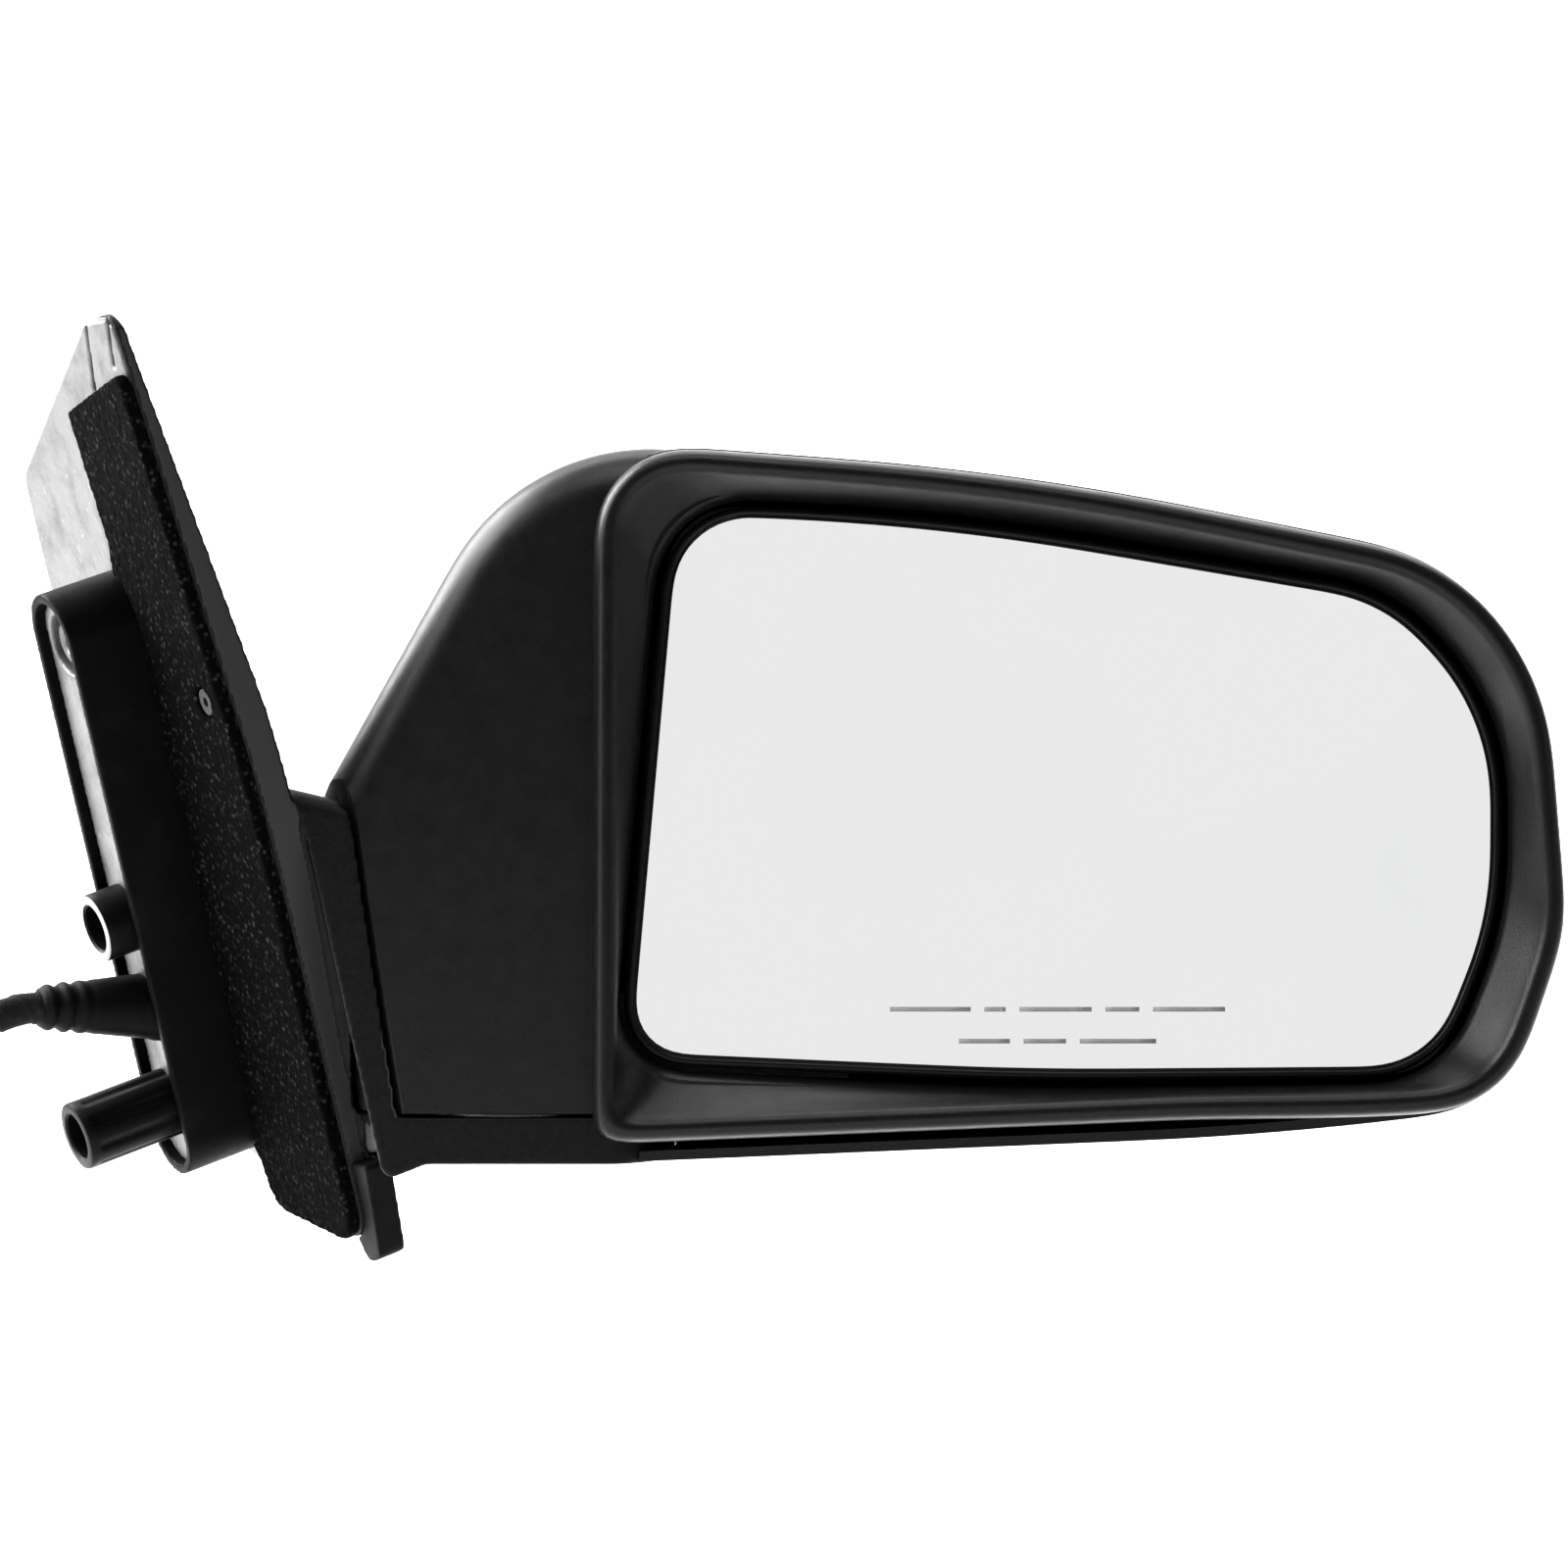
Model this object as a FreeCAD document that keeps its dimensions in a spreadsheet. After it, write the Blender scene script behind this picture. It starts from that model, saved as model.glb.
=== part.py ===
"""Car door mirror, passenger side: manual fold, powered glass.

Millimetres, +Z up, +X outboard, +Y forward. The origin is the middle of the gasket face that rests
on the door. Foot pieces are drawn flat in the door frame (x forward, y up the door, z out of the
door) and placed by DOOR. Head pieces are drawn about the fold axis and placed by FOLD.
"""
import FreeCAD, Part
import Sketcher
import math
import os

V = FreeCAD.Vector
doc = FreeCAD.newDocument("door_mirror")
sheet = doc.addObject("Spreadsheet::Sheet", "dims")

DIMENSIONS = {
    # how the foot sits on the door
    "door_turn": 27, "door_lean": 18.5, "fold_x": 72, "fold_y": 16,
    # foot
    "gasket_thick": 3, "plate_thick": 3, "sail_depth": 8, "sail_taper": 6, "skin": 2,
    "platform_rise": 15, "platform_radius": 9, "collar_wall": 2.4, "collar_rise": 17.5,
    "boss_upper_radius": 5.15, "boss_upper_bore": 2.5, "boss_upper_rise": -1,
    "boss_middle_radius": 8.5, "boss_middle_bore": 5.7, "boss_middle_rise": 9,
    "boss_lower_radius": 8.5, "boss_lower_bore": 5.7, "boss_lower_rise": 26,
    "arm_half_depth": 28, "shelf_bottom": -89.5, "shelf_top": -78.3, "shelf_radius": 38,
    "cone_low_radius": 37.6, "cone_high_radius": 45.6, "cone_low": -77.5, "cone_high": -8.3,
    "cone_gap": 1.1, "disc_radius": 30, "disc_bottom": -86, "disc_top": -80,
    # fold joint
    "post_radius": 8, "post_bore": 5.5, "post_top": -18, "post_flange_radius": 13,
    "detent_radius": 24, "detent_top": -78, "ball_radius": 1.5, "ball_circle": 19,
    "bush_wall": 2, "bush_top": -50, "hub_wall": 3, "flange_bottom": -77.6, "flange_top": -72,
    "spring_mean": 16.6, "spring_wire": 2.6, "washer_radius": 20, "washer_bottom": -34,
    "washer_thick": 2.5, "ring_thick": 2.5, "running_gap": 0.05,
    # head
    "wall": 2.5, "rim_plane": -39, "parting": -24, "back_plane": 50, "neck_half_depth": 28,
    "frame_thick": 3, "frame_plane": 13,
    # glass
    "glass_x": 130, "glass_z": -3, "glass_front": -29, "glass_curve": 1400, "glass_thick": 2,
    "pad_thick": 0.5, "carrier_thick": 2.5, "carrier_rim": 2.3, "gimbal_plane": -17,
    # glass drive
    "case_half": 40, "case_front": -10.5, "case_joint": 0, "case_rear": 13,
    "plunger_arm": 26, "plunger_radius": 4, "plunger_tip": 2.5, "wheel_radius": 8.5,
    "wheel_thick": 5, "worm_radius": 3, "worm_length": 12, "motor_radius": 6, "motor_length": 20,
    "ring_outer": 13, "ring_inner": 10, "ring_width": 4, "pin_radius": 1.5,
    # lead
    "lead_diameter": 8, "inner_lead_diameter": 4, "boot_length": 24,
}
for row, (alias, value) in enumerate(DIMENSIONS.items(), 1):
    sheet.set(f"A{row}", alias)
    sheet.set(f"B{row}", str(value))
    sheet.setAlias(f"B{row}", alias)
doc.recompute()


def dim(alias):
    """A driving dimension, read from the sheet."""
    return float(getattr(sheet, alias))


TURN = math.radians(dim("door_turn"))
LEAN = math.radians(dim("door_lean"))
FORWARD = V(-math.sin(TURN), math.cos(TURN), 0)
UP_DOOR = V(-math.sin(LEAN) * math.cos(TURN), -math.sin(LEAN) * math.sin(TURN), math.cos(LEAN))
OUT = FORWARD.cross(UP_DOOR)
DOOR = FreeCAD.Placement(
    FreeCAD.Matrix(
        FORWARD.x, UP_DOOR.x, OUT.x, 0,
        FORWARD.y, UP_DOOR.y, OUT.y, 0,
        FORWARD.z, UP_DOOR.z, OUT.z, 0,
        0, 0, 0, 1,
    )
)
FOLD = FreeCAD.Placement(V(dim("fold_x"), dim("fold_y"), 0), FreeCAD.Rotation())
FOLD_TO_DOOR = DOOR.inverse().multiply(FOLD)
X, Y, Z = V(1, 0, 0), V(0, 1, 0), V(0, 0, 1)
nodes = {}


# ---------------------------------------------------------------- outlines

def rounded(corners, offset=0.0):
    """Edges of a closed outline of straight runs and tangent arcs, in the XY plane.

    corners holds (x, y, radius). offset moves the whole outline outward, so arcs stay concentric.
    """
    points = [V(x, y, 0) for x, y, _ in corners]
    count = len(points)
    area = sum(points[i - 1].x * points[i].y - points[i].x * points[i - 1].y for i in range(count))
    side = 1 if area > 0 else -1
    starts, mids, ends = [], [], []
    for i in range(count):
        before = (points[i] - points[i - 1]).normalize()
        after = (points[(i + 1) % count] - points[i]).normalize()
        turn = side * math.atan2(before.cross(after).z, before.dot(after))
        growth = offset if turn > 0 else -offset
        radius = max(corners[i][2] + growth, 0.6)
        outward = (before - after).normalize()
        corner = points[i] + outward * (growth / math.cos(turn / 2))
        tangent = radius * math.tan(abs(turn) / 2)
        starts.append(corner - before * tangent)
        ends.append(corner + after * tangent)
        mids.append(corner - outward * (radius / math.cos(turn / 2) - radius))
    edges = []
    for i in range(count):
        edges.append(Part.Arc(starts[i], mids[i], ends[i]))
        edges.append(Part.LineSegment(ends[i], starts[(i + 1) % count]))
    return edges


def wire(corners, offset=0.0):
    return Part.Wire([edge.toShape() for edge in rounded(corners, offset)])


def prism(corners, low, high, offset=0.0):
    """A flat outline raised along Z from low to high."""
    face = Part.Face(wire(corners, offset))
    face.translate(V(0, 0, low))
    return face.extrude(V(0, 0, high - low))


def upright(shape):
    """Turn a piece drawn in XY and raised along Z so that it is drawn in XZ and raised along Y."""
    shape.rotate(V(), X, 90)
    return shape.mirror(V(), Y)


def slab(corners, near, far, offset=0.0):
    """A front-view outline (x, z) raised along Y from near to far."""
    return upright(prism(corners, near, far, offset))


def rod(radius, start, end):
    return Part.makeCylinder(radius, (end - start).Length, start, end - start)


def capsule(start, end, radius):
    """Corners of a slot-shaped outline round two centres."""
    along = (end - start).normalize()
    across = V(-along.y, along.x, 0)
    tips = [
        start - along * radius - across * radius, start - along * radius + across * radius,
        end + along * radius + across * radius, end + along * radius - across * radius,
    ]
    return [(p.x, p.y, radius * 0.999) for p in tips]


# ---------------------------------------------------------------- document objects

def piece(label, obj, place=None):
    """Register a finished sub-part under its node name."""
    obj.Label = label
    if place is not None:
        obj.Placement = place
    nodes[label] = obj
    return obj


def shaped(label, shape, place=None):
    """A sub-part whose form is computed from the sheet's values."""
    obj = doc.addObject("Part::Feature", label)
    obj.Shape = shape
    return piece(label, obj, place)


def new_sketch(body, plane):
    sketch = body.newObject("Sketcher::SketchObject", body.Name + "_sketch")
    origin = next(f for f in body.Origin.OriginFeatures if f.Role == plane)
    sketch.AttachmentSupport = [(origin, "")]
    sketch.MapMode = "FlatFace"
    return sketch


def turned(label, profile, place):
    """A part turned round its own Z axis. profile holds (radius, height) as sheet expressions."""
    body = doc.addObject("PartDesign::Body", label)
    sketch = new_sketch(body, "XZ_Plane")
    corners = [(float(sheet.evalExpression(r)), float(sheet.evalExpression(z))) for r, z in profile]
    count = len(corners)
    for i in range(count):
        after = corners[(i + 1) % count]
        sketch.addGeometry(Part.LineSegment(V(*corners[i], 0), V(*after, 0)), False)
    for i, (radius, height) in enumerate(profile):
        sketch.addConstraint(Sketcher.Constraint("Coincident", (i - 1) % count, 2, i, 1))
        for kind, value, expression in zip(("DistanceX", "DistanceY"), corners[i], (radius, height)):
            index = sketch.addConstraint(Sketcher.Constraint(kind, -1, 1, i, 1, value))
            sketch.setExpression(f"Constraints[{index}]", expression)
    spin = body.newObject("PartDesign::Revolution", label + "_spin")
    spin.Profile = sketch
    spin.ReferenceAxis = (sketch, ["V_Axis"])
    spin.Angle = 360
    body.Tip = spin
    return piece(label, body, place)


# ---------------------------------------------------------------- foot: door side

def at_door(shape):
    """Move a shape drawn in the door frame into the row frame."""
    return shape.transformed(DOOR.toMatrix())


SAIL = [
    (-22.5, 114, 6), (-22.5, -3, 150), (-0.5, -117.5, 9), (43, -111, 8), (46, -101.5, 6),
    (67, -95, 9), (74, 52, 25), (68.5, 79, 6), (-3, 113, 6),
]
PLATE = [
    (-20, 112.5, 4), (-20, -2.8, 148), (2, -114.5, 8), (42, -108.5, 7), (46, -101, 6),
    (66.7, -94.7, 9), (73.7, 51.8, 25), (68.2, 78.8, 6), (-3.2, 112.7, 6),
]
GASKET = [
    (-21.8, 100, 3), (-21.8, -3, 150), (0, -116.9, 8), (43.5, -110.2, 7), (45.5, -97, 3),
    (50, -84, 0.6), (26, 42, 0.6), (17.5, 60, 0.6), (17.5, 93, 2),
]
PLATFORM_TOP, PLATFORM_FOOT = V(26, 42, 0), V(53, -84, 0)
UPPER, MIDDLE, LOWER, BOOT = V(26, 40, 0), V(41.2, -29, 0), V(51.5, -77, 0), V(45.5, -52, 0)
PRONG_SLOTS = [(-13, 101), (3.5, 96)]
COVER_SCREWS = [V(50, 10, 0), V(55.5, -25, 0), V(-12, 20, 0)]
ARM_AT_SAIL = [(-20, -2, 6), (-2, -100, 6), (48, -98, 6), (36, -3, 6)]
ARM_ROOT_DEPTH = 8
CHEEK = [(22, -4.5, 2), (33, -8.3, 14), (52, -8.3, 1), (52, -89.5, 1), (42, -93.5, 3)]

gasket = dim("gasket_thick")
plate_top = gasket + dim("plate_thick")
skin = dim("skin")
half = dim("arm_half_depth")
fit = dim("running_gap")


def platform(radius, low, high):
    return prism(capsule(PLATFORM_TOP, PLATFORM_FOOT, radius), low, high)


def sail_block(inset, depth):
    """The sail cover's body: full depth low down, thinning toward its top."""
    top = gasket + depth
    profile = [V(-60, -130, gasket - 1), V(-60, -130, top), V(-60, 15, top)]
    profile += [V(-60, 118, top - dim("sail_taper")), V(-60, 118, gasket - 1)]
    wedge = Part.Face(Part.makePolygon(profile + profile[:1])).extrude(V(160, 0, 0))
    return prism(SAIL, gasket, top + 1, -inset).common(wedge)


def arm_loft(inset):
    """The arm from the sail to the fold joint, shrunk by inset, in the row frame."""
    root = wire(ARM_AT_SAIL, -inset)
    root.translate(V(0, 0, ARM_ROOT_DEPTH))
    root = root.transformed(DOOR.toMatrix())
    bottom, top = dim("shelf_bottom"), dim("cone_high")
    end = wire([(-half, top, 6), (-half, bottom, 6), (half, bottom, 6), (half, top, 6)], -inset)
    end = end.transformed(
        FreeCAD.Matrix(0, 0, 1, dim("fold_x") - 22, 1, 0, 0, dim("fold_y"), 0, 1, 0, 0, 0, 0, 0, 1)
    )
    return Part.makeLoft([root, end], True, True)


def cone(extra, low, high):
    """The neck's conical end about the fold axis, grown by extra, in the fold frame."""
    slope = (dim("cone_high_radius") - dim("cone_low_radius")) / (dim("cone_high") - dim("cone_low"))
    radius = [dim("cone_low_radius") + extra + slope * (z - dim("cone_low")) for z in (low, high)]
    return Part.makeCone(radius[0], radius[1], high - low, V(0, 0, low))


def folded(shape):
    """Move a shape drawn in the fold frame into the row frame."""
    return shape.transformed(FOLD.toMatrix())


def shelf(inset, low, high):
    """The shelf under the neck, in the row frame."""
    width = 2 * (half - inset)
    block = Part.makeBox(62, width, high - low, V(-24, -width / 2, low))
    disc = Part.makeCylinder(dim("shelf_radius") - inset, high - low, V(0, 0, low))
    return folded(block.common(disc))


def lead_path(points, radii=None):
    """Straight runs joined by tangent arcs, each as large as its two runs allow."""
    edges, start, used = [], points[0], []
    for i in range(1, len(points) - 1):
        before, after = points[i] - points[i - 1], points[i + 1] - points[i]
        turn = before.getAngle(after)
        reach = 0.45 * min(before.Length, after.Length)
        radius = radii[i - 1] if radii else reach / math.tan(turn / 2)
        tangent = radius * math.tan(turn / 2)
        before.normalize()
        after.normalize()
        first, last = points[i] - before * tangent, points[i] + after * tangent
        inward = (after - before).normalize()
        middle = points[i] + inward * (radius / math.cos(turn / 2) - radius)
        edges += [Part.LineSegment(start, first).toShape(), Part.Arc(first, middle, last).toShape()]
        start = last
        used.append(round(radius, 1))
    edges.append(Part.LineSegment(start, points[-1]).toShape())
    return Part.Wire(edges), used


def lead(points, diameter, radii=None):
    """A round lead along a path. Prints its arc radii and checks its volume."""
    path, used = lead_path(points, radii)
    ring = Part.Wire(Part.makeCircle(diameter / 2, points[0], points[1] - points[0]))
    tube = path.makePipeShell([ring], True, False)
    expected = math.pi * diameter**2 / 4 * path.Length
    print("lead length", round(path.Length, 1), "arc radii", used)
    if abs(tube.Volume - expected) > 0.01 * expected:
        raise ValueError("the lead's volume does not match its length")
    return tube


def build_bracket():
    """Die-cast bracket: plate, raised platform, hollow arm and the disc under the fold joint."""
    wall, clear = 4, skin + 0.7
    plate = prism(PLATE, gasket, plate_top)
    for slot_u, slot_v in PRONG_SLOTS:
        slot = prism([(-0.8, 0, 0.79), (0.8, 0, 0.79), (0.8, 40, 0.7), (-0.8, 40, 0.7)], 0, 8)
        slot.rotate(V(), Z, 24)
        slot.translate(V(slot_u, slot_v, 0))
        plate = plate.cut(slot)
    raised = platform(dim("platform_radius"), -dim("platform_rise"), gasket)
    root = prism(ARM_AT_SAIL, plate_top, ARM_ROOT_DEPTH, -clear - 0.5)
    metal = at_door(plate.fuse([raised, root])).fuse(
        arm_loft(clear + 0.5).cut(
            folded(cone(dim("cone_gap") + clear, dim("disc_top"), 10))
        )
    )
    low, high = dim("disc_bottom"), dim("disc_top")
    metal = metal.fuse(folded(Part.makeCylinder(dim("disc_radius") - 3, high - low, V(0, 0, low))))
    hollow = arm_loft(clear + wall).cut(
        folded(cone(dim("cone_gap") + clear + wall, low, 10))
    )
    pocket = platform(dim("platform_radius") - 2.5, 2.5 - dim("platform_rise"), ARM_ROOT_DEPTH)
    for centre in (UPPER, MIDDLE, LOWER):
        pocket = pocket.cut(rod(dim("boss_middle_radius"), centre - Z * 20, centre + Z * plate_top))
    core = prism(ARM_AT_SAIL, plate_top, ARM_ROOT_DEPTH + 1, -clear - wall)
    metal = metal.cut(hollow.fuse([at_door(pocket), at_door(core)]))
    eye = folded(rod(dim("post_bore"), V(0, 0, low + 0.7), V(0, 0, high)))
    metal = metal.cut(eye)
    rise = dim("platform_rise")
    for radius, centre, low in (
        (7.5, UPPER, -6), (dim("boss_upper_radius") + fit, UPPER, 0),
        (dim("boss_middle_bore") + 0.5, MIDDLE, -3), (4.2, BOOT, 0),
    ):
        metal = metal.cut(at_door(rod(radius, centre - Z * (rise + 1), centre + Z * low)))
    return metal.removeSplitter()


def cheek(inset):
    """The arm's rear face, level with the neck's, from the sail's edge to the seam."""
    rear = dim("fold_y") - half
    return slab(CHEEK, rear + inset, rear + half, -inset)


def build_cover():
    """Plastic shroud: sail cover, arm skin and the shelf skin under the neck."""
    outer = at_door(sail_block(0, dim("sail_depth"))).fuse([arm_loft(0), cheek(0)])
    outer = outer.cut(folded(cone(dim("cone_gap"), dim("shelf_top"), 20)))
    outer = outer.fuse(shelf(0, dim("shelf_bottom"), dim("shelf_top")))
    inner = at_door(sail_block(skin, dim("sail_depth") - skin)).fuse([arm_loft(skin), cheek(skin)])
    inner = inner.cut(folded(cone(dim("cone_gap") + skin, dim("disc_top"), 20)))
    inner = inner.fuse(shelf(skin, dim("shelf_bottom") + skin, dim("disc_top")))
    mouth = folded(rod(dim("detent_radius") + 1, V(0, 0, dim("disc_top") - 1), V(0, 0, -70)))
    plate_room = at_door(prism(PLATE, gasket - 1, plate_top + 0.1, 0.25))
    cover = outer.cut(inner.fuse([mouth, plate_room]))
    boss_top = gasket + dim("sail_depth") - 1
    bosses = [rod(3.4, p + Z * (plate_top + 0.1), p + Z * boss_top) for p in COVER_SCREWS]
    cover = max(cover.Solids, key=lambda solid: solid.Volume).fuse(at_door(Part.makeCompound(bosses)))
    return cover.cut(at_door(Part.makeCompound([rod(1.9, p, p + Z * 9.5) for p in COVER_SCREWS])))


def turned_boss(label, radius, bore, rise, centre, foot, depth):
    """A round fixing boss on the platform, drawn with its mouth at zero. foot is its lower end."""
    length = f"({rise} + dims.platform_rise + {foot})"
    if depth is None:
        floor = [(bore, length)]
    else:
        floor = [("0", length), ("0", depth), (bore, depth)]
    profile = [(f"{bore} + 0.4", "0"), (f"{radius} - 0.4", "0"), (radius, "0.4"), (radius, length)]
    profile += floor + [(bore, "0.4")]
    mouth = -float(sheet.evalExpression(f"{rise} + dims.platform_rise"))
    return turned(label, profile, DOOR.multiply(FreeCAD.Placement(centre + Z * mouth, FreeCAD.Rotation())))


shelf_run = dim("disc_bottom") + 3.2
inner_run = [
    DOOR.multVec(BOOT - Z * (dim("platform_rise") - 0.2)), DOOR.multVec(BOOT + Z * 6),
    V(18, 38, -66), V(30, 26, shelf_run),
    V(dim("fold_x"), dim("fold_y"), shelf_run), V(dim("fold_x"), dim("fold_y"), -30),
]
inner_radii = [6, 40, 12, 2.3]
shaped("harness_foot", lead(inner_run, dim("inner_lead_diameter"), inner_radii))
lead_room = lead(inner_run, dim("inner_lead_diameter") + 1, inner_radii)
cover = build_cover().cut(lead_room)
shaped("foot_cover", max(cover.Solids, key=lambda solid: solid.Volume))
bracket = build_bracket().cut([cover, lead_room])
screw_room = Part.makeCompound([rod(1.9, p, p + Z * 9.5) for p in COVER_SCREWS])
shaped("base_bracket", bracket.cut(at_door(screw_room)))
screw_room = Part.makeCompound([rod(4, p - Z, p + Z * 9.5) for p in COVER_SCREWS])
shaped(
    "foam_gasket",
    prism(GASKET, 0, gasket).cut(
        [platform(dim("platform_radius") + dim("collar_wall") + 0.4, -1, 5), screw_room]
    ),
    DOOR,
)
shaped(
    "collar_seal",
    platform(dim("platform_radius") + dim("collar_wall"), -dim("collar_rise"), gasket).cut(
        platform(dim("platform_radius") + fit, -dim("collar_rise") - 1, gasket + 1)
    ),
    DOOR,
)
turned_boss(
    "standoff_upper", "dims.boss_upper_radius", "dims.boss_upper_bore", "dims.boss_upper_rise",
    UPPER, 0, "11",
)
turned_boss(
    "standoff_middle", "dims.boss_middle_radius", "dims.boss_middle_bore", "dims.boss_middle_rise",
    MIDDLE, -dim("platform_rise"), None,
)
turned_boss(
    "standoff_lower", "dims.boss_lower_radius", "dims.boss_lower_bore", "dims.boss_lower_rise",
    LOWER, -dim("platform_rise"), "24",
)

boot_way = V(0, math.sin(LEAN), -math.cos(LEAN))
boot_root = BOOT - Z * dim("platform_rise")
boot_end = boot_root + boot_way * dim("boot_length")
boot = rod(8.2, boot_root, boot_root - Z * 2.5).fuse(
    Part.makeCone(8, dim("lead_diameter") / 2 + 1.2, dim("boot_length") - 0.5,
                  boot_root + boot_way * 0.5, boot_way)
)
boot = boot.cut(platform(30, -dim("platform_rise"), 5))
boot = boot.cut(rod(dim("lead_diameter") / 2 - 1, boot_root - Z * 3, boot_root + Z * 3))
shaped("cable_boot", boot.cut(rod(20, boot_end, boot_end + boot_way * 5)), DOOR)

LEAD_EXIT = DOOR.multVec(boot_end)
LEAD_WAY = DOOR.Rotation.multVec(boot_way)
LEAD_ROUTE = [
    LEAD_EXIT, LEAD_EXIT + LEAD_WAY * 15, V(-70, 15, -66), V(-81, 7, -85),
    V(-86.5, 1, -107), V(-88, -2, -130), V(-88, -2, -153),
]
shaped("cable", lead(LEAD_ROUTE, dim("lead_diameter")))
plug = Part.makeBox(24, 15, 30, V(-12, -7.5, 0)).fuse(Part.makeBox(8, 4, 20, V(-4, 7.5, 4)))
plug = plug.fuse(Part.makeCylinder(6, 4, V(0, 0, -4)))
plug = plug.cut(Part.makeBox(20, 11, 20, V(-10, -5.5, 12)))
for column in range(4):
    for line in (-1.6, 1.6):
        plug = plug.fuse(Part.makeCylinder(0.8, 14, V(-7.2 + 4.8 * column, line, 11)))
plug_place = FreeCAD.Placement(LEAD_ROUTE[-1] - Z * 4, FreeCAD.Rotation(X, 180))
shaped("cable_connector", plug, plug_place)

hook = prism([(-14, -97, 1), (-5.5, -121, 3), (3, -123, 3), (8, -110, 1), (4, -97, 1)], 3.5, 10.5)
hook = at_door(hook).cut([cover, bracket])
shaped("seal_lip", max(hook.Solids, key=lambda solid: solid.Volume))


# ---------------------------------------------------------------- fold joint

def on_fold(height, swing=0):
    return FOLD.multiply(FreeCAD.Placement(V(0, 0, height), FreeCAD.Rotation(Z, swing)))


turned(
    "pivot_post",
    [
        ("dims.post_bore", "dims.disc_top"), ("dims.post_flange_radius", "dims.disc_top"),
        ("dims.post_flange_radius", "dims.detent_top - 0.4"),
        ("dims.post_radius", "dims.detent_top - 0.4"), ("dims.post_radius", "dims.post_top"),
        ("dims.post_bore", "dims.post_top"),
    ],
    FOLD,
)
circle = dim("ball_circle")
ball = dim("ball_radius")
seats = [V(circle * math.cos(a), circle * math.sin(a), 0) for a in [i * math.pi / 1.5 for i in range(3)]]
detent = Part.makeCylinder(dim("detent_radius"), 2, V(0, 0, dim("disc_top")))
detent = detent.cut(rod(dim("post_flange_radius") + 0.1, V(0, 0, -90), V(0, 0, -70)))
for seat in seats:
    detent = detent.cut(Part.makeSphere(ball, seat + Z * (dim("detent_top") + ball * 0.6)))
shaped("detent_plate", detent, FOLD)
turned(
    "spring_washer",
    [
        ("dims.post_radius", "dims.washer_bottom"), ("dims.washer_radius", "dims.washer_bottom"),
        ("dims.washer_radius", "dims.washer_bottom + dims.washer_thick"),
        ("dims.post_radius", "dims.washer_bottom + dims.washer_thick"),
    ],
    FOLD,
)
turned(
    "retaining_ring",
    [
        ("dims.post_radius", "dims.washer_bottom + dims.washer_thick"),
        ("dims.post_radius + 4", "dims.washer_bottom + dims.washer_thick"),
        ("dims.post_radius + 3", "dims.washer_bottom + dims.washer_thick + dims.ring_thick"),
        ("dims.post_radius", "dims.washer_bottom + dims.washer_thick + dims.ring_thick"),
    ],
    FOLD,
)
spring_low = dim("flange_top") + dim("spring_wire") / 2 + 0.3
spring_high = dim("washer_bottom") - dim("spring_wire") / 2 - 0.1
helix = Part.makeHelix((spring_high - spring_low) / 5, spring_high - spring_low, dim("spring_mean"))
wire_half, mean = dim("spring_wire") / 2, dim("spring_mean")
section = [V(mean - wire_half, 0, -wire_half), V(mean + wire_half, 0, -wire_half),
           V(mean + wire_half, 0, wire_half), V(mean - wire_half, 0, wire_half)]
coil = Part.Wire(helix).makePipeShell([Part.makePolygon(section + section[:1])], True, True)
shaped("pivot_spring", coil, on_fold(spring_low))
turned(
    "pivot_bush",
    [
        ("dims.post_radius + dims.running_gap", "dims.flange_bottom"),
        ("dims.post_radius + dims.bush_wall", "dims.flange_bottom"),
        ("dims.post_radius + dims.bush_wall", "dims.bush_top"),
        ("dims.post_radius + dims.running_gap", "dims.bush_top"),
    ],
    FOLD,
)
balls = [Part.makeSphere(ball, seat + Z * (dim("detent_top") + ball + 0.03)) for seat in seats]
shaped("detent_balls", Part.makeCompound(balls), FOLD)


# ---------------------------------------------------------------- head housing

BOWL = [
    (18, -89.9, 4), (18.5, 80.9, 22), (119.4, 72.6, 700), (219.6, 54.2, 40),
    (244, 28, 60), (247.3, -30, 50), (230.6, -76.4, 24), (179, -82.1, 800),
]
NECK = [(-60, -95, 1), (-60, -30.9, 1), (3.8, 83.3, 60), (90, 73.5, 10), (90, -95, 1)]
BOWL_RIMS = [(-39, -3.2), (-33, -1.2), (-22, -0.3), (-8, 0), (12, -2.5)]
BOWL_BACKS = [(28, 0.93), (40, 0.8), (50, 0.56)]
BOWL_CENTRE = (70, -4)


def at_depth(outline, depth):
    outline.rotate(V(), X, 90)
    outline = outline.mirror(V(), Y)
    outline.translate(Y * depth)
    return outline


def shrunk(corners, factor):
    """An outline scaled about the bowl's centre."""
    cx, cz = BOWL_CENTRE
    return [(cx + (x - cx) * factor, cz + (z - cz) * factor, r * factor) for x, z, r in corners]


def bowl(wall=0.0, first=None):
    """The main body of the head, or its hollow when wall is given."""
    rims = [(y, grow) for y, grow in BOWL_RIMS if first is None or y > first]
    if first is not None:
        rims.insert(0, (first, -0.5))
    sections = [at_depth(wire(BOWL, grow - wall), y) for y, grow in rims]
    sections += [at_depth(wire(shrunk(BOWL, f), -wall), y - wall) for y, f in BOWL_BACKS]
    return Part.makeLoft(sections, True, True)


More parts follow.
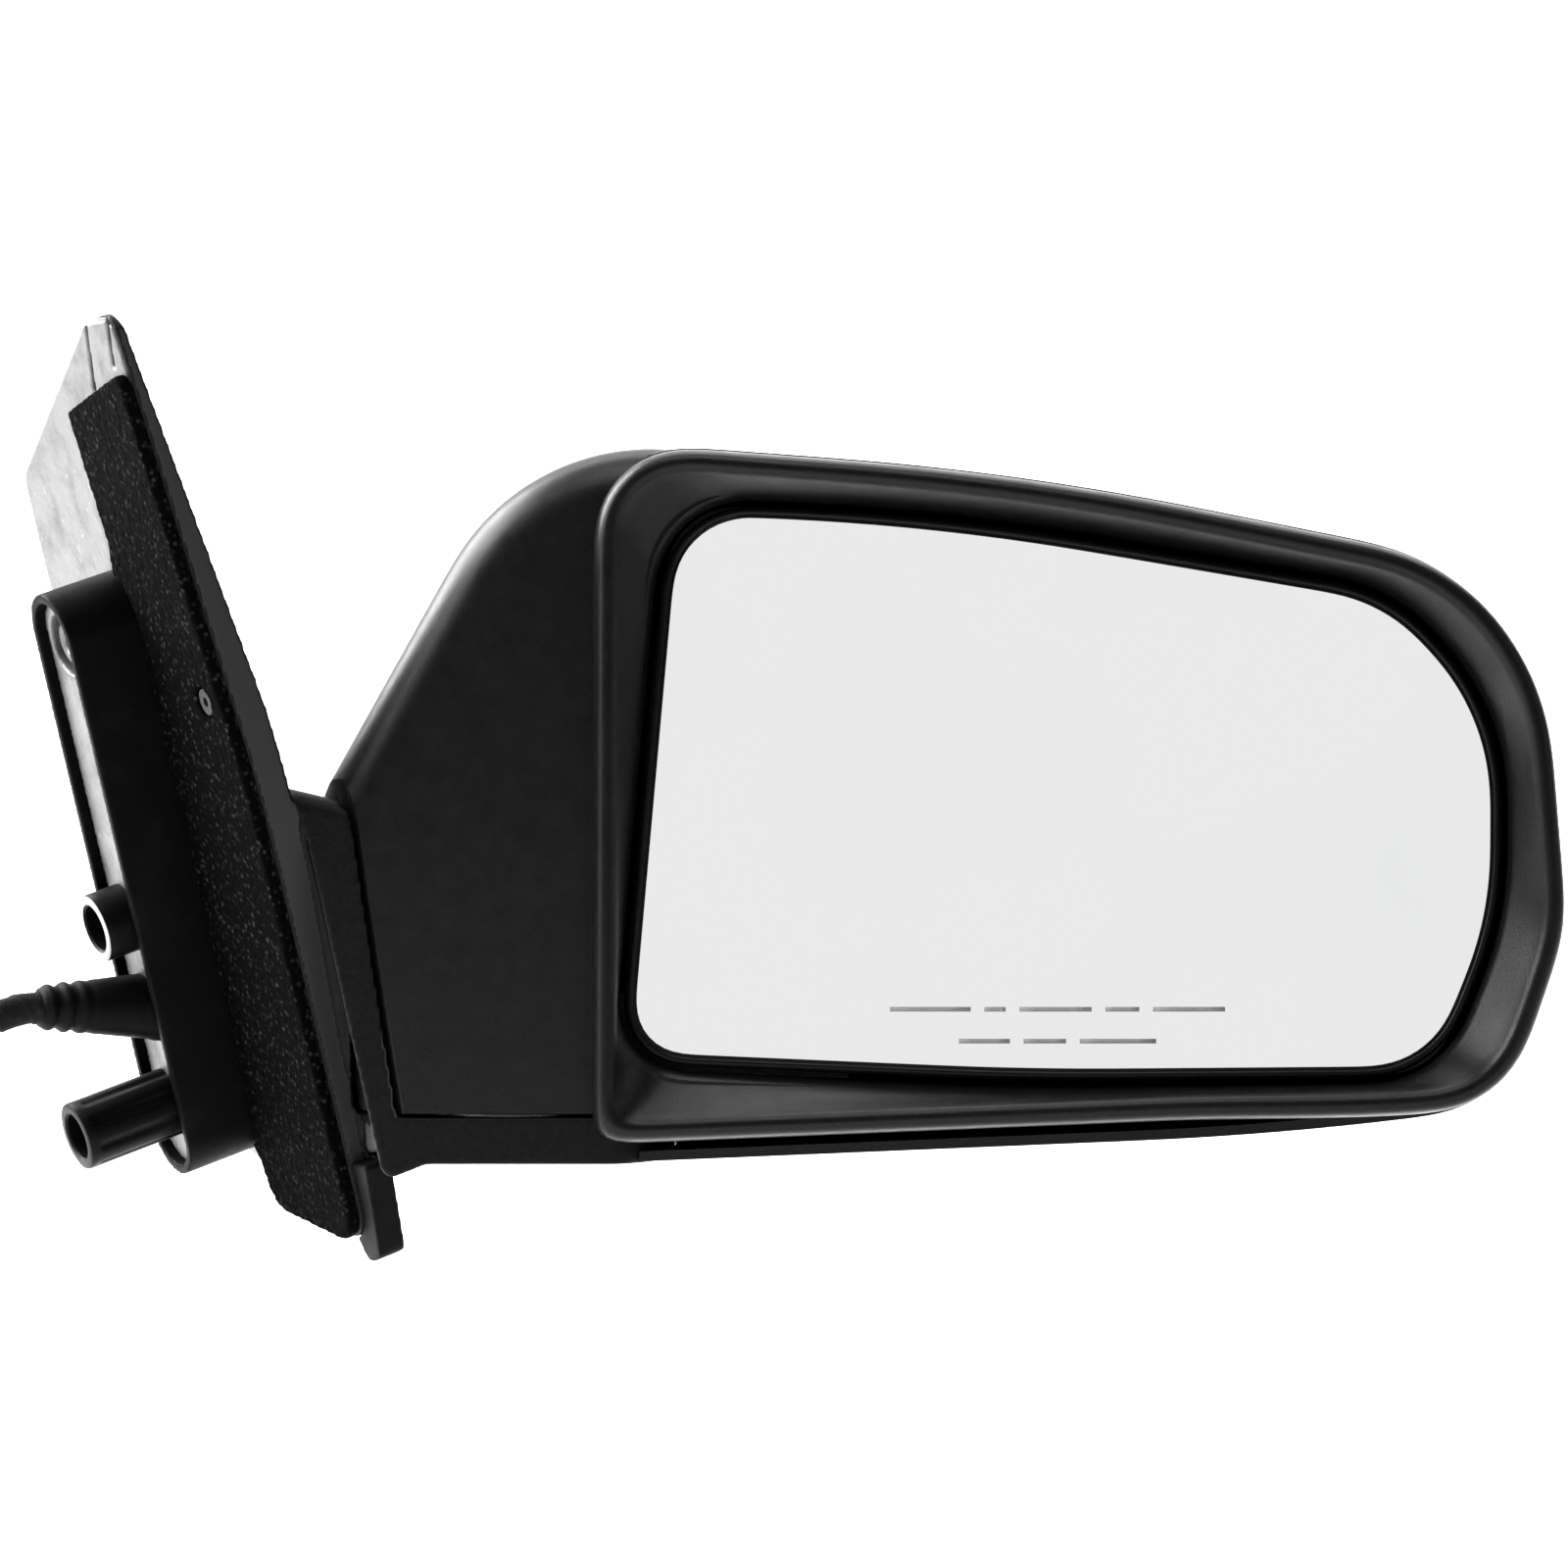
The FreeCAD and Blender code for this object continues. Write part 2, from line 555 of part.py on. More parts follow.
def neck(wall=0.0):
    """The neck between the bowl and the fold axis, with its rounded long edges."""
    depth = dim("neck_half_depth")
    rims = [(-depth, -9), (-depth + 3, -4), (-depth + 9, 0), (depth - 9, 0), (depth - 3, -4), (depth, -9)]
    sections = [at_depth(wire(NECK, grow - wall), y * (1 - wall / depth)) for y, grow in rims]
    block = Part.makeLoft(sections, True, True)
    end = cone(-wall, dim("cone_low") - 1, 100).fuse(Part.makeBox(300, 200, 300, V(0, -100, -150)))
    floor = Part.makeBox(400, 200, 100, V(-100, -100, dim("cone_low") + wall - 100))
    return block.common(end).cut(floor)


def undercut(wall=0.0):
    """The room under the neck for the shelf."""
    top = dim("cone_low") + wall
    drum = Part.makeCylinder(dim("shelf_radius") + 0.5 + wall, 40, V(0, 0, top - 40))
    edge = math.sqrt((dim("shelf_radius") + 0.5) ** 2 - half**2) + wall
    return drum.fuse(Part.makeBox(100, 200, 40, V(edge - 100, -100, top - 40)))


GLASS = [
    (29.4, -62.6, 12), (40, 63.5, 14), (95.6, 60.7, 600), (204.4, 42.1, 40),
    (230, 15.8, 55), (230, -30.5, 80), (215.8, -66, 15), (122, -66.6, 900),
]

parting = dim("parting")
wall = dim("wall")
outer = neck().fuse(bowl().cut(undercut()))
inner = neck(wall).fuse(bowl(wall, parting).cut(undercut(wall)))
opening = Part.makeLoft(
    [
        at_depth(wire(BOWL, -6.2), dim("rim_plane") - 0.2),
        at_depth(wire(GLASS, dim("carrier_rim") + 2.8), parting + 0.2),
    ],
    True, True,
)
hub_mouth = rod(dim("detent_radius") + 1, V(0, 0, -90), V(0, 0, -60))
hollow = outer.cut(inner.fuse([opening, hub_mouth]))
front_half = Part.makeBox(600, 200, 400, V(-200, parting - 200, -200))
bezel = hollow.common(front_half)
shell = hollow.cut(front_half)
shaped("housing_bezel", max(bezel.Solids, key=lambda solid: solid.Volume), FOLD)
shell = max(shell.Solids, key=lambda solid: solid.Volume)

glass_centre = V(dim("glass_x"), 0, dim("glass_z"))
frame_low = dim("frame_plane")
frame_high = frame_low + dim("frame_thick")
FRAME_SCREWS = [(67, 34), (67, -40), (188, -8)]
shell_bosses = [
    rod(4.5, V(x, frame_high, z), V(x, 60, z)).common(bowl(0.3)) for x, z in FRAME_SCREWS
]
screw_holes = [rod(2, V(x, frame_high - 1, z), V(x, 30, z)) for x, z in FRAME_SCREWS]
shell = shell.fuse(shell_bosses).cut(Part.makeCompound(screw_holes))
shaped("housing_shell", shell, FOLD)

hub_radius = dim("post_radius") + dim("bush_wall")
flange = Part.makeCylinder(dim("detent_radius"), dim("flange_top") - dim("flange_bottom"),
                           V(0, 0, dim("flange_bottom")))
tube = Part.makeCylinder(hub_radius + dim("hub_wall"), dim("bush_top") - dim("flange_bottom"),
                         V(0, 0, dim("flange_bottom")))
arm = Part.makeBox(60, 14, 24, V(19.6, 0, -74.4)).fuse(
    Part.makeBox(5, frame_high + 4, 34, V(74.6, -4, -74.4))
)
mount = slab([(60, -70, 8), (60, 44, 8), (198, 36, 8), (198, -52, 8)], frame_low, frame_high)
frame = flange.fuse([tube, arm, mount])
frame = frame.cut(rod(hub_radius, V(0, 0, -90), V(0, 0, 0)))
for seat in seats:
    pocket = seat + Z * (dim("detent_top") + ball + 0.03)
    frame = frame.cut(Part.makeSphere(ball + fit, pocket))
    frame = frame.cut(rod(ball + fit, pocket - Z * 3, pocket))
for x, z in FRAME_SCREWS:
    frame = frame.cut(rod(2.2, V(x, 0, z), V(x, 30, z)))
window = slab([(112, -28, 6), (112, 18, 6), (150, 18, 6), (150, -28, 6)], 0, 30)
frame = frame.cut(window)
shaped("inner_frame", frame, FOLD)


def screw(head_radius, shank_radius, length, point, way):
    """A pan-head screw. point is under the head and way is where the shank goes."""
    head = rod(head_radius, point - way * 2.2, point)
    slot = Part.makeCylinder(1.2, 1.2, point - way * 2.3, way)
    return head.cut(slot).fuse(rod(shank_radius, point, point + way * length))


frame_screws = [screw(4, 1.9, 12, V(x, frame_low, z), Y) for x, z in FRAME_SCREWS]
shaped("frame_screws", Part.makeCompound(frame_screws), FOLD)


# ---------------------------------------------------------------- glass and its drive

def dish(front, back):
    """The slice of a big ball between two depths behind the glass front."""
    curve = dim("glass_curve")
    centre = glass_centre + Y * (dim("glass_front") + curve)
    return Part.makeSphere(curve - front, centre).cut(Part.makeSphere(curve - back, centre))


glass_back = dim("glass_thick")
pad_back = glass_back + dim("pad_thick")
carrier_back = pad_back + dim("carrier_thick")
near, far = dim("glass_front") - 2, dim("glass_front") + 14
shaped("mirror_glass", slab(GLASS, near, far).common(dish(0, glass_back)), FOLD)
shaped("heater_pad", slab(GLASS, near, far, -1.5).common(dish(glass_back, pad_back)), FOLD)

gimbal_y = dim("gimbal_plane")
centre = glass_centre + Y * gimbal_y
arm_reach = dim("plunger_arm")
PLUNGERS = {"vertical": centre + Z * arm_reach, "horizontal": centre + X * arm_reach}
carrier = slab(GLASS, near, far, dim("carrier_rim")).common(dish(0.2, carrier_back))
carrier = carrier.cut(slab(GLASS, near, far, 0.15).common(dish(-5, pad_back)))
back_plane = dim("glass_front") + carrier_back - 0.3
post = rod(8, V(centre.x, back_plane, centre.z), V(centre.x, gimbal_y + 4.4, centre.z))
carrier = carrier.fuse(post)
carrier = carrier.cut(rod(dim("pin_radius") + fit, centre - Z * 12, centre + Z * 12))
for tip in PLUNGERS.values():
    cup = rod(6, V(tip.x, back_plane, tip.z), V(tip.x, gimbal_y + 0.8, tip.z))
    carrier = carrier.fuse(cup)
    carrier = carrier.cut(rod(4.2, V(tip.x, gimbal_y - 3.6, tip.z), V(tip.x, gimbal_y + 2, tip.z)))
for angle in range(0, 360, 45):
    rib = Part.makeBox(22, 2.5, 1.6, V(9, back_plane, -0.8))
    rib.rotate(V(), Y, angle + 22.5)
    rib.translate(V(centre.x, 0, centre.z))
    carrier = carrier.fuse(rib)
shaped("glass_carrier", carrier, FOLD)

ring_low = gimbal_y - dim("ring_width") / 2
ring_high = gimbal_y + dim("ring_width") / 2
axis_point = V(centre.x, 0, centre.z)
ring = rod(dim("ring_outer"), axis_point + Y * ring_low, axis_point + Y * ring_high)
ring = ring.cut(rod(dim("ring_inner"), axis_point + Y * -40, axis_point + Y * 0))
for way in (Z, -Z):
    ring = ring.fuse(rod(dim("pin_radius"), centre + way * 5, centre + way * 11))
for way in (X, -X):
    ring = ring.fuse(rod(dim("pin_radius"), centre + way * 12, centre + way * 19))
shaped("gimbal_ring", ring, FOLD)


def case_outline(inset=0.0):
    cx, cz, size = centre.x, centre.z, dim("case_half") - inset
    return [(cx + a * size, cz + b * size, 8) for a, b in ((-1, -1), (-1, 1), (1, 1), (1, -1))]


case_front, case_joint, case_rear = dim("case_front"), dim("case_joint"), dim("case_rear")
corner = dim("case_half") - 7
SCREWS = [centre + V(a * corner, -gimbal_y, b * corner) for a, b in ((-1, 1), (1, 1), (-1, -1), (1, -1))]
front = slab(case_outline(), case_front, case_joint)
front = front.cut(slab(case_outline(2), case_front + 2, case_joint + 1))
rear = slab(case_outline(), case_joint, case_rear)
rear = rear.cut(slab(case_outline(2), case_joint - 1, case_rear - 2))
for point in SCREWS:
    front = front.fuse(rod(4.5, point + Y * case_front, point))
    rear = rear.fuse(rod(4.5, point, point + Y * case_rear))
    front = front.cut(rod(1.7, point + Y * -20, point + Y * 20))
    rear = rear.cut(rod(1.5, point + Y * -20, point + Y * (case_rear - 3)))
for way in (X, -X):
    lug = centre + way * 17
    ear = rod(3, lug - way * 2, lug + way * 2).fuse(
        Part.makeBox(4, case_front - gimbal_y, 6, lug + V(-2, 0, -3))
    )
    front = front.fuse(ear).cut(rod(dim("pin_radius") + fit, lug - way * 4, lug + way * 4))
worm_offset = dim("wheel_radius") + dim("worm_radius") + 0.1
wheel_low = -1
worm_depth = wheel_low + dim("wheel_thick") / 2
DRIVES = {
    "vertical": (X, centre + Z * (arm_reach - worm_offset)),
    "horizontal": (Z, centre + X * (arm_reach - worm_offset)),
}
for name, tip in PLUNGERS.items():
    bore = V(tip.x, 0, tip.z)
    front = front.cut(rod(dim("plunger_radius") + fit, bore + Y * -20, bore + Y * 0))
    body = rod(dim("plunger_radius"), bore + Y * (gimbal_y + 5), bore + Y * 7.5)
    body = body.fuse([rod(1.5, tip, bore + Y * (gimbal_y + 6)), Part.makeSphere(dim("plunger_tip"), tip)])
    shaped(f"plunger_{name}", body, FOLD)
    wheel_label = f"gear_{name}"
    teeth = 18
    wheel = rod(dim("wheel_radius"), bore + Y * wheel_low, bore + Y * (wheel_low + dim("wheel_thick")))
    wheel = wheel.cut(rod(dim("plunger_radius") + fit, bore + Y * -20, bore + Y * 20))
    grooves = []
    for tooth in range(teeth):
        angle = math.tau * (tooth + 0.5) / teeth
        spot = bore + V(math.cos(angle), 0, math.sin(angle)) * (dim("wheel_radius") + 0.3)
        grooves.append(rod(0.9, spot - Y * 2, spot + Y * 6))
    shaped(wheel_label, wheel.cut(Part.makeCompound(grooves)), FOLD)
    way, middle = DRIVES[name]
    spot = V(middle.x, worm_depth, middle.z)
    reach = dim("worm_length") / 2
    thread = rod(dim("worm_radius"), spot - way * reach, spot + way * reach)
    for turn in range(5):
        ring_at = spot + way * (-4.4 + 2.2 * turn)
        thread = thread.cut(Part.makeTorus(dim("worm_radius") + 0.2, 0.6, ring_at, way))
    shaft = rod(1, spot - way * (reach + 2), spot + way * (reach + 2))
    shaped(f"worm_{name}", thread.fuse(shaft), FOLD)
    motor_from = spot - way * (reach + 1)
    motor = rod(dim("motor_radius"), motor_from, motor_from - way * dim("motor_length"))
    motor = motor.cut(rod(1 + fit, motor_from + way, motor_from - way * 2))
    shaped(f"motor_{name}", motor, FOLD)
    block = spot + way * (reach + 1)
    bearing = rod(2.4, block, block + way * 1.4).fuse(
        Part.makeBox(1.4 if way == X else 4.8, case_rear - 2 - worm_depth, 4.8 if way == X else 1.4,
                     block - (Z if way == X else X) * 2.4)
    )
    rear = rear.fuse(bearing).cut(rod(1 + fit, block - way, block + way * 2))
shaped("actuator_front", front, FOLD)
shaped("actuator_rear", rear, FOLD)
case_screws = [screw(3, 1.4, 17, point + Y * case_front, Y) for point in SCREWS]
shaped("actuator_screws", Part.makeCompound(case_screws), FOLD)

socket_at = V(centre.x - dim("case_half"), 3, centre.z - 12)
socket = Part.makeBox(12, 8, 16, socket_at - V(12, 4, 8))
shaped("actuator_connector", socket, FOLD)
inside = [
    V(0, 0, -28), V(1, 0, 2), V(28, 3, 10), V(52, 4, -5), V(62, 3, socket_at.z), socket_at - X * 12,
]
shaped("harness_head", lead(inside, dim("inner_lead_diameter")), FOLD)
screws = [screw(3.2, 1.8, 5.5, p + Z * (gasket - 0.1), Z) for p in COVER_SCREWS]
shaped("cover_screws", Part.makeCompound(screws), DOOR)


# ---------------------------------------------------------------- checks and export

doc.recompute()
for obj in doc.Objects:
    if {"Invalid", "Error"} & set(obj.State):
        raise RuntimeError(f"{obj.Name} did not compute: {obj.State}")
os.makedirs("parts", exist_ok=True)
for label, obj in nodes.items():
    shape = obj.Shape
    if shape.isNull() or not shape.isValid() or not shape.Solids:
        raise RuntimeError(f"{label} is not a valid solid")
    shape.exportStep(f"parts/{label}.step")
print(len(nodes), "nodes written")
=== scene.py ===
"""Car door mirror: looks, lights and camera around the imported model.

Metres in the row frame. The origin is the middle of the gasket face on the door, +X is outboard,
+Y is the car's forward direction and +Z is up. The camera looks along +Y at the glass.
"""
import math

import bmesh
import bpy
import numpy as np
from mathutils import Matrix, Vector, noise


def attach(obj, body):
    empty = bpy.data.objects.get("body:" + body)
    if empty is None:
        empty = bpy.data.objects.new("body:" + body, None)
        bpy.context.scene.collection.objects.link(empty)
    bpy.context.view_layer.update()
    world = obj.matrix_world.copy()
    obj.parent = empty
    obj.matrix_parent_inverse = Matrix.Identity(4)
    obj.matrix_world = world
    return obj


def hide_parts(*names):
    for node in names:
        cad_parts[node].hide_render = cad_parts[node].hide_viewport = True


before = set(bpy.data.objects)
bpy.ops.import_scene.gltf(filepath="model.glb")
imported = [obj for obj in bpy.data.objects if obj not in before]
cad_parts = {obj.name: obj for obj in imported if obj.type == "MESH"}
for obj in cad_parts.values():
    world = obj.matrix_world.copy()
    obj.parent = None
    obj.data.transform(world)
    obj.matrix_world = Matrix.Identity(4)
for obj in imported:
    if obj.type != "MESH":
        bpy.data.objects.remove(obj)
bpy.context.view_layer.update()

MM = 0.001
scene = bpy.context.scene

# ---------------------------------------------------------------- places

DOOR_TURN, DOOR_LEAN = math.radians(27), math.radians(18.5)
FORWARD = Vector((-math.sin(DOOR_TURN), math.cos(DOOR_TURN), 0))
UP_DOOR = Vector((
    -math.sin(DOOR_LEAN) * math.cos(DOOR_TURN), -math.sin(DOOR_LEAN) * math.sin(DOOR_TURN),
    math.cos(DOOR_LEAN),
))
OUT = FORWARD.cross(UP_DOOR)
DOOR = Matrix((FORWARD, UP_DOOR, OUT)).transposed().to_4x4()
FOLD = Matrix.Translation((72 * MM, 16 * MM, 0))
SCALE = Matrix.Scale(MM, 4)
DOOR_MM = DOOR @ SCALE
FOLD_MM = FOLD @ SCALE

# ---------------------------------------------------------------- camera, lights and stage

VIEW_CENTRE = Vector((136.2 * MM, -14 * MM, 0))
VIEW_DISTANCE = 1.4
VIEW_WIDTH = 0.368
SENSOR = 36

eye = bpy.data.cameras.new("view_camera")
eye.sensor_width = SENSOR
eye.lens = SENSOR * VIEW_DISTANCE / VIEW_WIDTH
eye.clip_end = 30
camera = bpy.data.objects.new("view_camera", eye)
camera.location = VIEW_CENTRE - Vector((0, VIEW_DISTANCE, 0))
camera.rotation_euler = (math.pi / 2, 0, 0)
scene.collection.objects.link(camera)
scene.camera = camera
scene.view_settings.view_transform = "Standard"


def softbox(name, place, size, power, aim=VIEW_CENTRE):
    """A rectangular studio light that faces aim."""
    data = bpy.data.lights.new(name, "AREA")
    data.shape = "RECTANGLE"
    data.size, data.size_y = size
    data.energy = power
    light = bpy.data.objects.new(name, data)
    light.location = place
    light.rotation_euler = (aim - Vector(place)).to_track_quat("-Z", "Y").to_euler()
    scene.collection.objects.link(light)
    return light


softbox("key_left", (-0.90, 0.20, 0.65), (1.4, 0.9), 110)
softbox("fill_overhead", (0.10, -0.45, 1.30), (0.8, 0.8), 16)
softbox("fill_left", (-1.4, -0.7, 0.25), (0.6, 1.1), 5)
softbox("fill_right", (1.7, -0.5, 0.5), (0.5, 1.1), 3)
softbox("wash_backdrop", (0.14, 1.0, 1.6), (2.4, 0.8), 60, aim=Vector((0.14, 1.6, 0.2)))
card = softbox("card_behind_camera", (0.14, -2.4, 0.0), (3.0, 3.0), 20)
card.visible_diffuse = False

FLOOR = -0.192
FLOOR_NEAR, FLOOR_BEND, WALL_TOP, STAGE_HALF = -0.85, 1.2, 3.0, 4.0
BEND_RADIUS, BEND_STEPS = 0.8, 12
ROOM_TONE = 0.22

world = bpy.data.worlds.new("studio")
world.use_nodes = True
background = world.node_tree.nodes["Background"]
background.inputs["Color"].default_value = (ROOM_TONE, ROOM_TONE, ROOM_TONE, 1)
background.inputs["Strength"].default_value = 1.0
scene.world = world


def build_stage():
    """A pale floor that curves up into the backdrop."""
    profile = [(FLOOR_NEAR, FLOOR), (FLOOR_BEND, FLOOR)]
    for step in range(1, BEND_STEPS + 1):
        angle = math.pi / 2 * step / BEND_STEPS
        back = FLOOR_BEND + BEND_RADIUS * math.sin(angle)
        profile.append((back, FLOOR + BEND_RADIUS * (1 - math.cos(angle))))
    profile.append((FLOOR_BEND + BEND_RADIUS, WALL_TOP))
    mesh = bpy.data.meshes.new("backdrop")
    verts = [(x, y, z) for y, z in profile for x in (-STAGE_HALF, STAGE_HALF)]
    faces = [(2 * i, 2 * i + 1, 2 * i + 3, 2 * i + 2) for i in range(len(profile) - 1)]
    mesh.from_pydata(verts, [], faces)
    mesh.shade_smooth()
    obj = bpy.data.objects.new("backdrop", mesh)
    scene.collection.objects.link(obj)
    return obj


backdrop = build_stage()

# ---------------------------------------------------------------- materials


class Finish:
    """A procedural material, built up from a Principled shader with layers of relief."""

    def __init__(self, name, colour, rough, metal=0.0, specular=0.5, ior=1.45):
        self.material = bpy.data.materials.new(name)
        self.material.use_nodes = True
        self.tree = self.material.node_tree
        self.shader = self.tree.nodes["Principled BSDF"]
        self.set("Base Color", (*colour, 1))
        self.set("Roughness", rough)
        self.set("Metallic", metal)
        self.set("Specular IOR Level", specular)
        self.set("IOR", ior)
        self.relief = None
        self.material.diffuse_color = (*colour, 1)

    def set(self, socket, value):
        self.shader.inputs[socket].default_value = value

    def node(self, kind, **values):
        made = self.tree.nodes.new(kind)
        for key, value in values.items():
            if key in made.inputs:
                made.inputs[key].default_value = value
            else:
                setattr(made, key, value)
        return made

    def link(self, source, target):
        self.tree.links.new(source, target)

    def place(self, stretch=(1, 1, 1), turn=(0, 0, 0)):
        """Object coordinates in metres, stretched and turned."""
        coords = self.node("ShaderNodeTexCoord")
        mapping = self.node("ShaderNodeMapping")
        mapping.inputs["Scale"].default_value = stretch
        mapping.inputs["Rotation"].default_value = turn
        self.link(coords.outputs["Object"], mapping.inputs["Vector"])
        return mapping.outputs["Vector"]

    def noise(self, size, detail=3.0, rough=0.55, stretch=(1, 1, 1), turn=(0, 0, 0)):
        """Noise with features about size metres across."""
        made = self.node("ShaderNodeTexNoise", Scale=1 / size, Detail=detail, Roughness=rough)
        self.link(self.place(stretch, turn), made.inputs["Vector"])
        return made.outputs["Fac"]

    def cells(self, size):
        """Distance from the middle of cells about size metres across."""
        made = self.node("ShaderNodeTexVoronoi", Scale=1 / size)
        self.link(self.place(), made.inputs["Vector"])
        return made.outputs["Distance"]

    def waves(self, size, direction, twist, turn):
        """Bands size metres apart."""
        made = self.node("ShaderNodeTexWave", Scale=math.pi / (10 * size) * 2, Distortion=twist)
        made.bands_direction = direction
        self.link(self.place(turn=turn), made.inputs["Vector"])
        return made.outputs["Fac"]

    def curve(self, value, low, high, out_low=0.0, out_high=1.0):
        made = self.node("ShaderNodeMapRange")
        made.inputs["From Min"].default_value = low
        made.inputs["From Max"].default_value = high
        made.inputs["To Min"].default_value = out_low
        made.inputs["To Max"].default_value = out_high
        self.link(value, made.inputs["Value"])
        return made.outputs["Result"]

    def tint(self, value, colour):
        """Mix colour over what is there where value is 1."""
        mix = self.node("ShaderNodeMix", data_type="RGBA")
        base = self.shader.inputs["Base Color"]
        if base.is_linked:
            self.link(base.links[0].from_socket, mix.inputs["A"])
        else:
            mix.inputs["A"].default_value = base.default_value
        mix.inputs["B"].default_value = (*colour, 1)
        self.link(value, mix.inputs["Factor"])
        self.link(mix.outputs["Result"], base)
        return self

    def gloss(self, value, low, high):
        """Roughness from low to high with a value of 0 to 1."""
        self.link(self.curve(value, 0, 1, low, high), self.shader.inputs["Roughness"])
        return self

    def bump(self, value, depth, strength=1.0):
        """Relief of depth metres."""
        made = self.node("ShaderNodeBump", Distance=depth, Strength=strength)
        self.link(value, made.inputs["Height"])
        if self.relief:
            self.link(self.relief, made.inputs["Normal"])
        self.relief = made.outputs["Normal"]
        self.link(self.relief, self.shader.inputs["Normal"])
        return self


def grained(name, colour, rough, specular, grain=0.0007, depth=0.00006):
    """Moulded plastic with a fine spark-eroded grain, mottled a little."""
    made = Finish(name, colour, rough, specular=specular)
    made.bump(made.noise(grain, 4, 0.6), depth)
    made.bump(made.noise(grain * 14, 2), depth * 2, 0.35)
    mottle = made.curve(made.noise(grain * 1.6, 3), 0.35, 0.75)
    made.tint(mottle, [c * 1.8 + 0.0004 for c in colour])
    made.gloss(made.noise(grain * 9, 4), rough - 0.1, rough + 0.12)
    return made


def finish_housing():
    """The rim round the glass."""
    return grained("housing_plastic", (0.0012, 0.0013, 0.0013), 0.36, 0.14)


def finish_shell():
    """The rear shell and the neck."""
    return grained("shell_plastic", (0.0012, 0.0013, 0.0013), 0.34, 0.17, grain=0.0005)


# Painted highlight: the lighter grey that stands in for light falling on the sail's rear wall.
PAINTED_STRIP_HIGHLIGHT = (0.020, 0.020, 0.0205)


def finish_cover():
    """Cover plastic, with a painted highlight on the sail's narrow rear wall: a lighter grey that
    stands in for light catching it.
    """
    made = grained("cover_plastic", (0.0020, 0.0020, 0.0020), 0.44, 0.06)
    depth = made.node("ShaderNodeVectorMath", operation="DOT_PRODUCT")
    made.link(made.place(), depth.inputs[0])
    depth.inputs[1].default_value = OUT
    facing = made.node("ShaderNodeVectorMath", operation="DOT_PRODUCT")
    made.link(made.node("ShaderNodeNewGeometry").outputs["Normal"], facing.inputs[0])
    facing.inputs[1].default_value = FORWARD
    both = made.node("ShaderNodeMath", operation="MULTIPLY")
    made.link(made.curve(depth.outputs["Value"], 11.4 * MM, 10.8 * MM), both.inputs[0])
    made.link(made.curve(facing.outputs["Value"], -0.935, -0.965), both.inputs[1])
    # Painted highlight: faces of the rear wall that look backward are tinted lighter grey in place of
    # real light.
    made.tint(both.outputs[0], PAINTED_STRIP_HIGHLIGHT)
    return made


def finish_foam():
    """Black open-celled foam with paler specks."""
    made = Finish("foam", (0.0010, 0.0010, 0.0010), 0.95, specular=0.012)
    made.bump(made.noise(0.0012, 5, 0.7), 0.0006, 0.8)
    made.bump(made.cells(0.0022), 0.0005, 0.6)
    specks = made.curve(made.cells(0.0017), 0.42, 0.14)
    gate = made.curve(made.noise(0.0024, 3), 0.42, 0.60)
    both = made.node("ShaderNodeMath", operation="MULTIPLY")
    made.link(specks, both.inputs[0])
    made.link(gate, both.inputs[1])
    made.tint(both.outputs[0], (0.016, 0.016, 0.016))
    return made


def finish_rubber():
    """Soft black rubber, dulled in patches."""
    made = Finish("seal_rubber", (0.0010, 0.0010, 0.0011), 0.5, specular=0.04)
    made.bump(made.noise(0.0012, 3), 0.00004)
    made.bump(made.noise(0.009, 3), 0.00035, 0.4)
    made.tint(made.curve(made.noise(0.012, 4), 0.5, 0.8), (0.0028, 0.0028, 0.0028))
    made.gloss(made.noise(0.007, 4), 0.4, 0.66)
    return made


def finish_cast():
    """Die-cast light metal, stained and lightly pitted."""
    made = Finish("cast_metal", (0.115, 0.113, 0.113), 0.52, metal=0.6, specular=0.3)
    made.bump(made.noise(0.0010, 4, 0.6), 0.00010)
    made.bump(made.noise(0.006, 3), 0.00035, 0.4)
    made.tint(made.curve(made.noise(0.011, 5, 0.65), 0.46, 0.75), (0.045, 0.043, 0.043))
    made.tint(made.curve(made.noise(0.0018, 3), 0.62, 0.8), (0.20, 0.20, 0.20))
    made.gloss(made.noise(0.005, 4), 0.34, 0.60)
    return made


def brushed(name, colour, rough, metal=1.0):
    """Turned or drawn metal with fine scratches."""
    made = Finish(name, colour, rough, metal=metal)
    made.bump(made.noise(0.0006, 3, 0.5, stretch=(1, 1, 8)), 0.00003)
    made.tint(made.curve(made.noise(0.004, 4), 0.5, 0.85), [c * 0.7 for c in colour])
    made.gloss(made.noise(0.002, 3, stretch=(1, 1, 6)), rough - 0.08, rough + 0.14)
    return made


def finish_tape():
    """Woven loom tape: fine diagonal threads, dulled and dusty."""
    made = Finish("loom_tape", (0.0032, 0.0032, 0.0034), 0.7, specular=0.08)
    made.bump(made.waves(0.0009, "X", 1.5, (0.5, 0.3, 0.6)), 0.00010, 0.7)
    made.bump(made.waves(0.0009, "Z", 1.5, (0.4, -0.5, 0.2)), 0.00010, 0.7)
    made.bump(made.noise(0.002, 4), 0.0003, 0.5)
    made.tint(made.curve(made.noise(0.0016, 4), 0.56, 0.74), (0.014, 0.014, 0.0145))
    made.gloss(made.noise(0.004, 3), 0.5, 0.8)
    return made


def finish_glass():
    """First-surface chromed glass with the faintest of dust."""
    made = Finish("mirror", (0.885, 0.885, 0.89), 0.02, metal=1.0)
    made.tint(made.curve(made.noise(0.05, 3), 0.45, 0.8), (0.865, 0.87, 0.875))
    made.gloss(made.curve(made.noise(0.012, 5, 0.7), 0.55, 0.85), 0.012, 0.035)
    return made


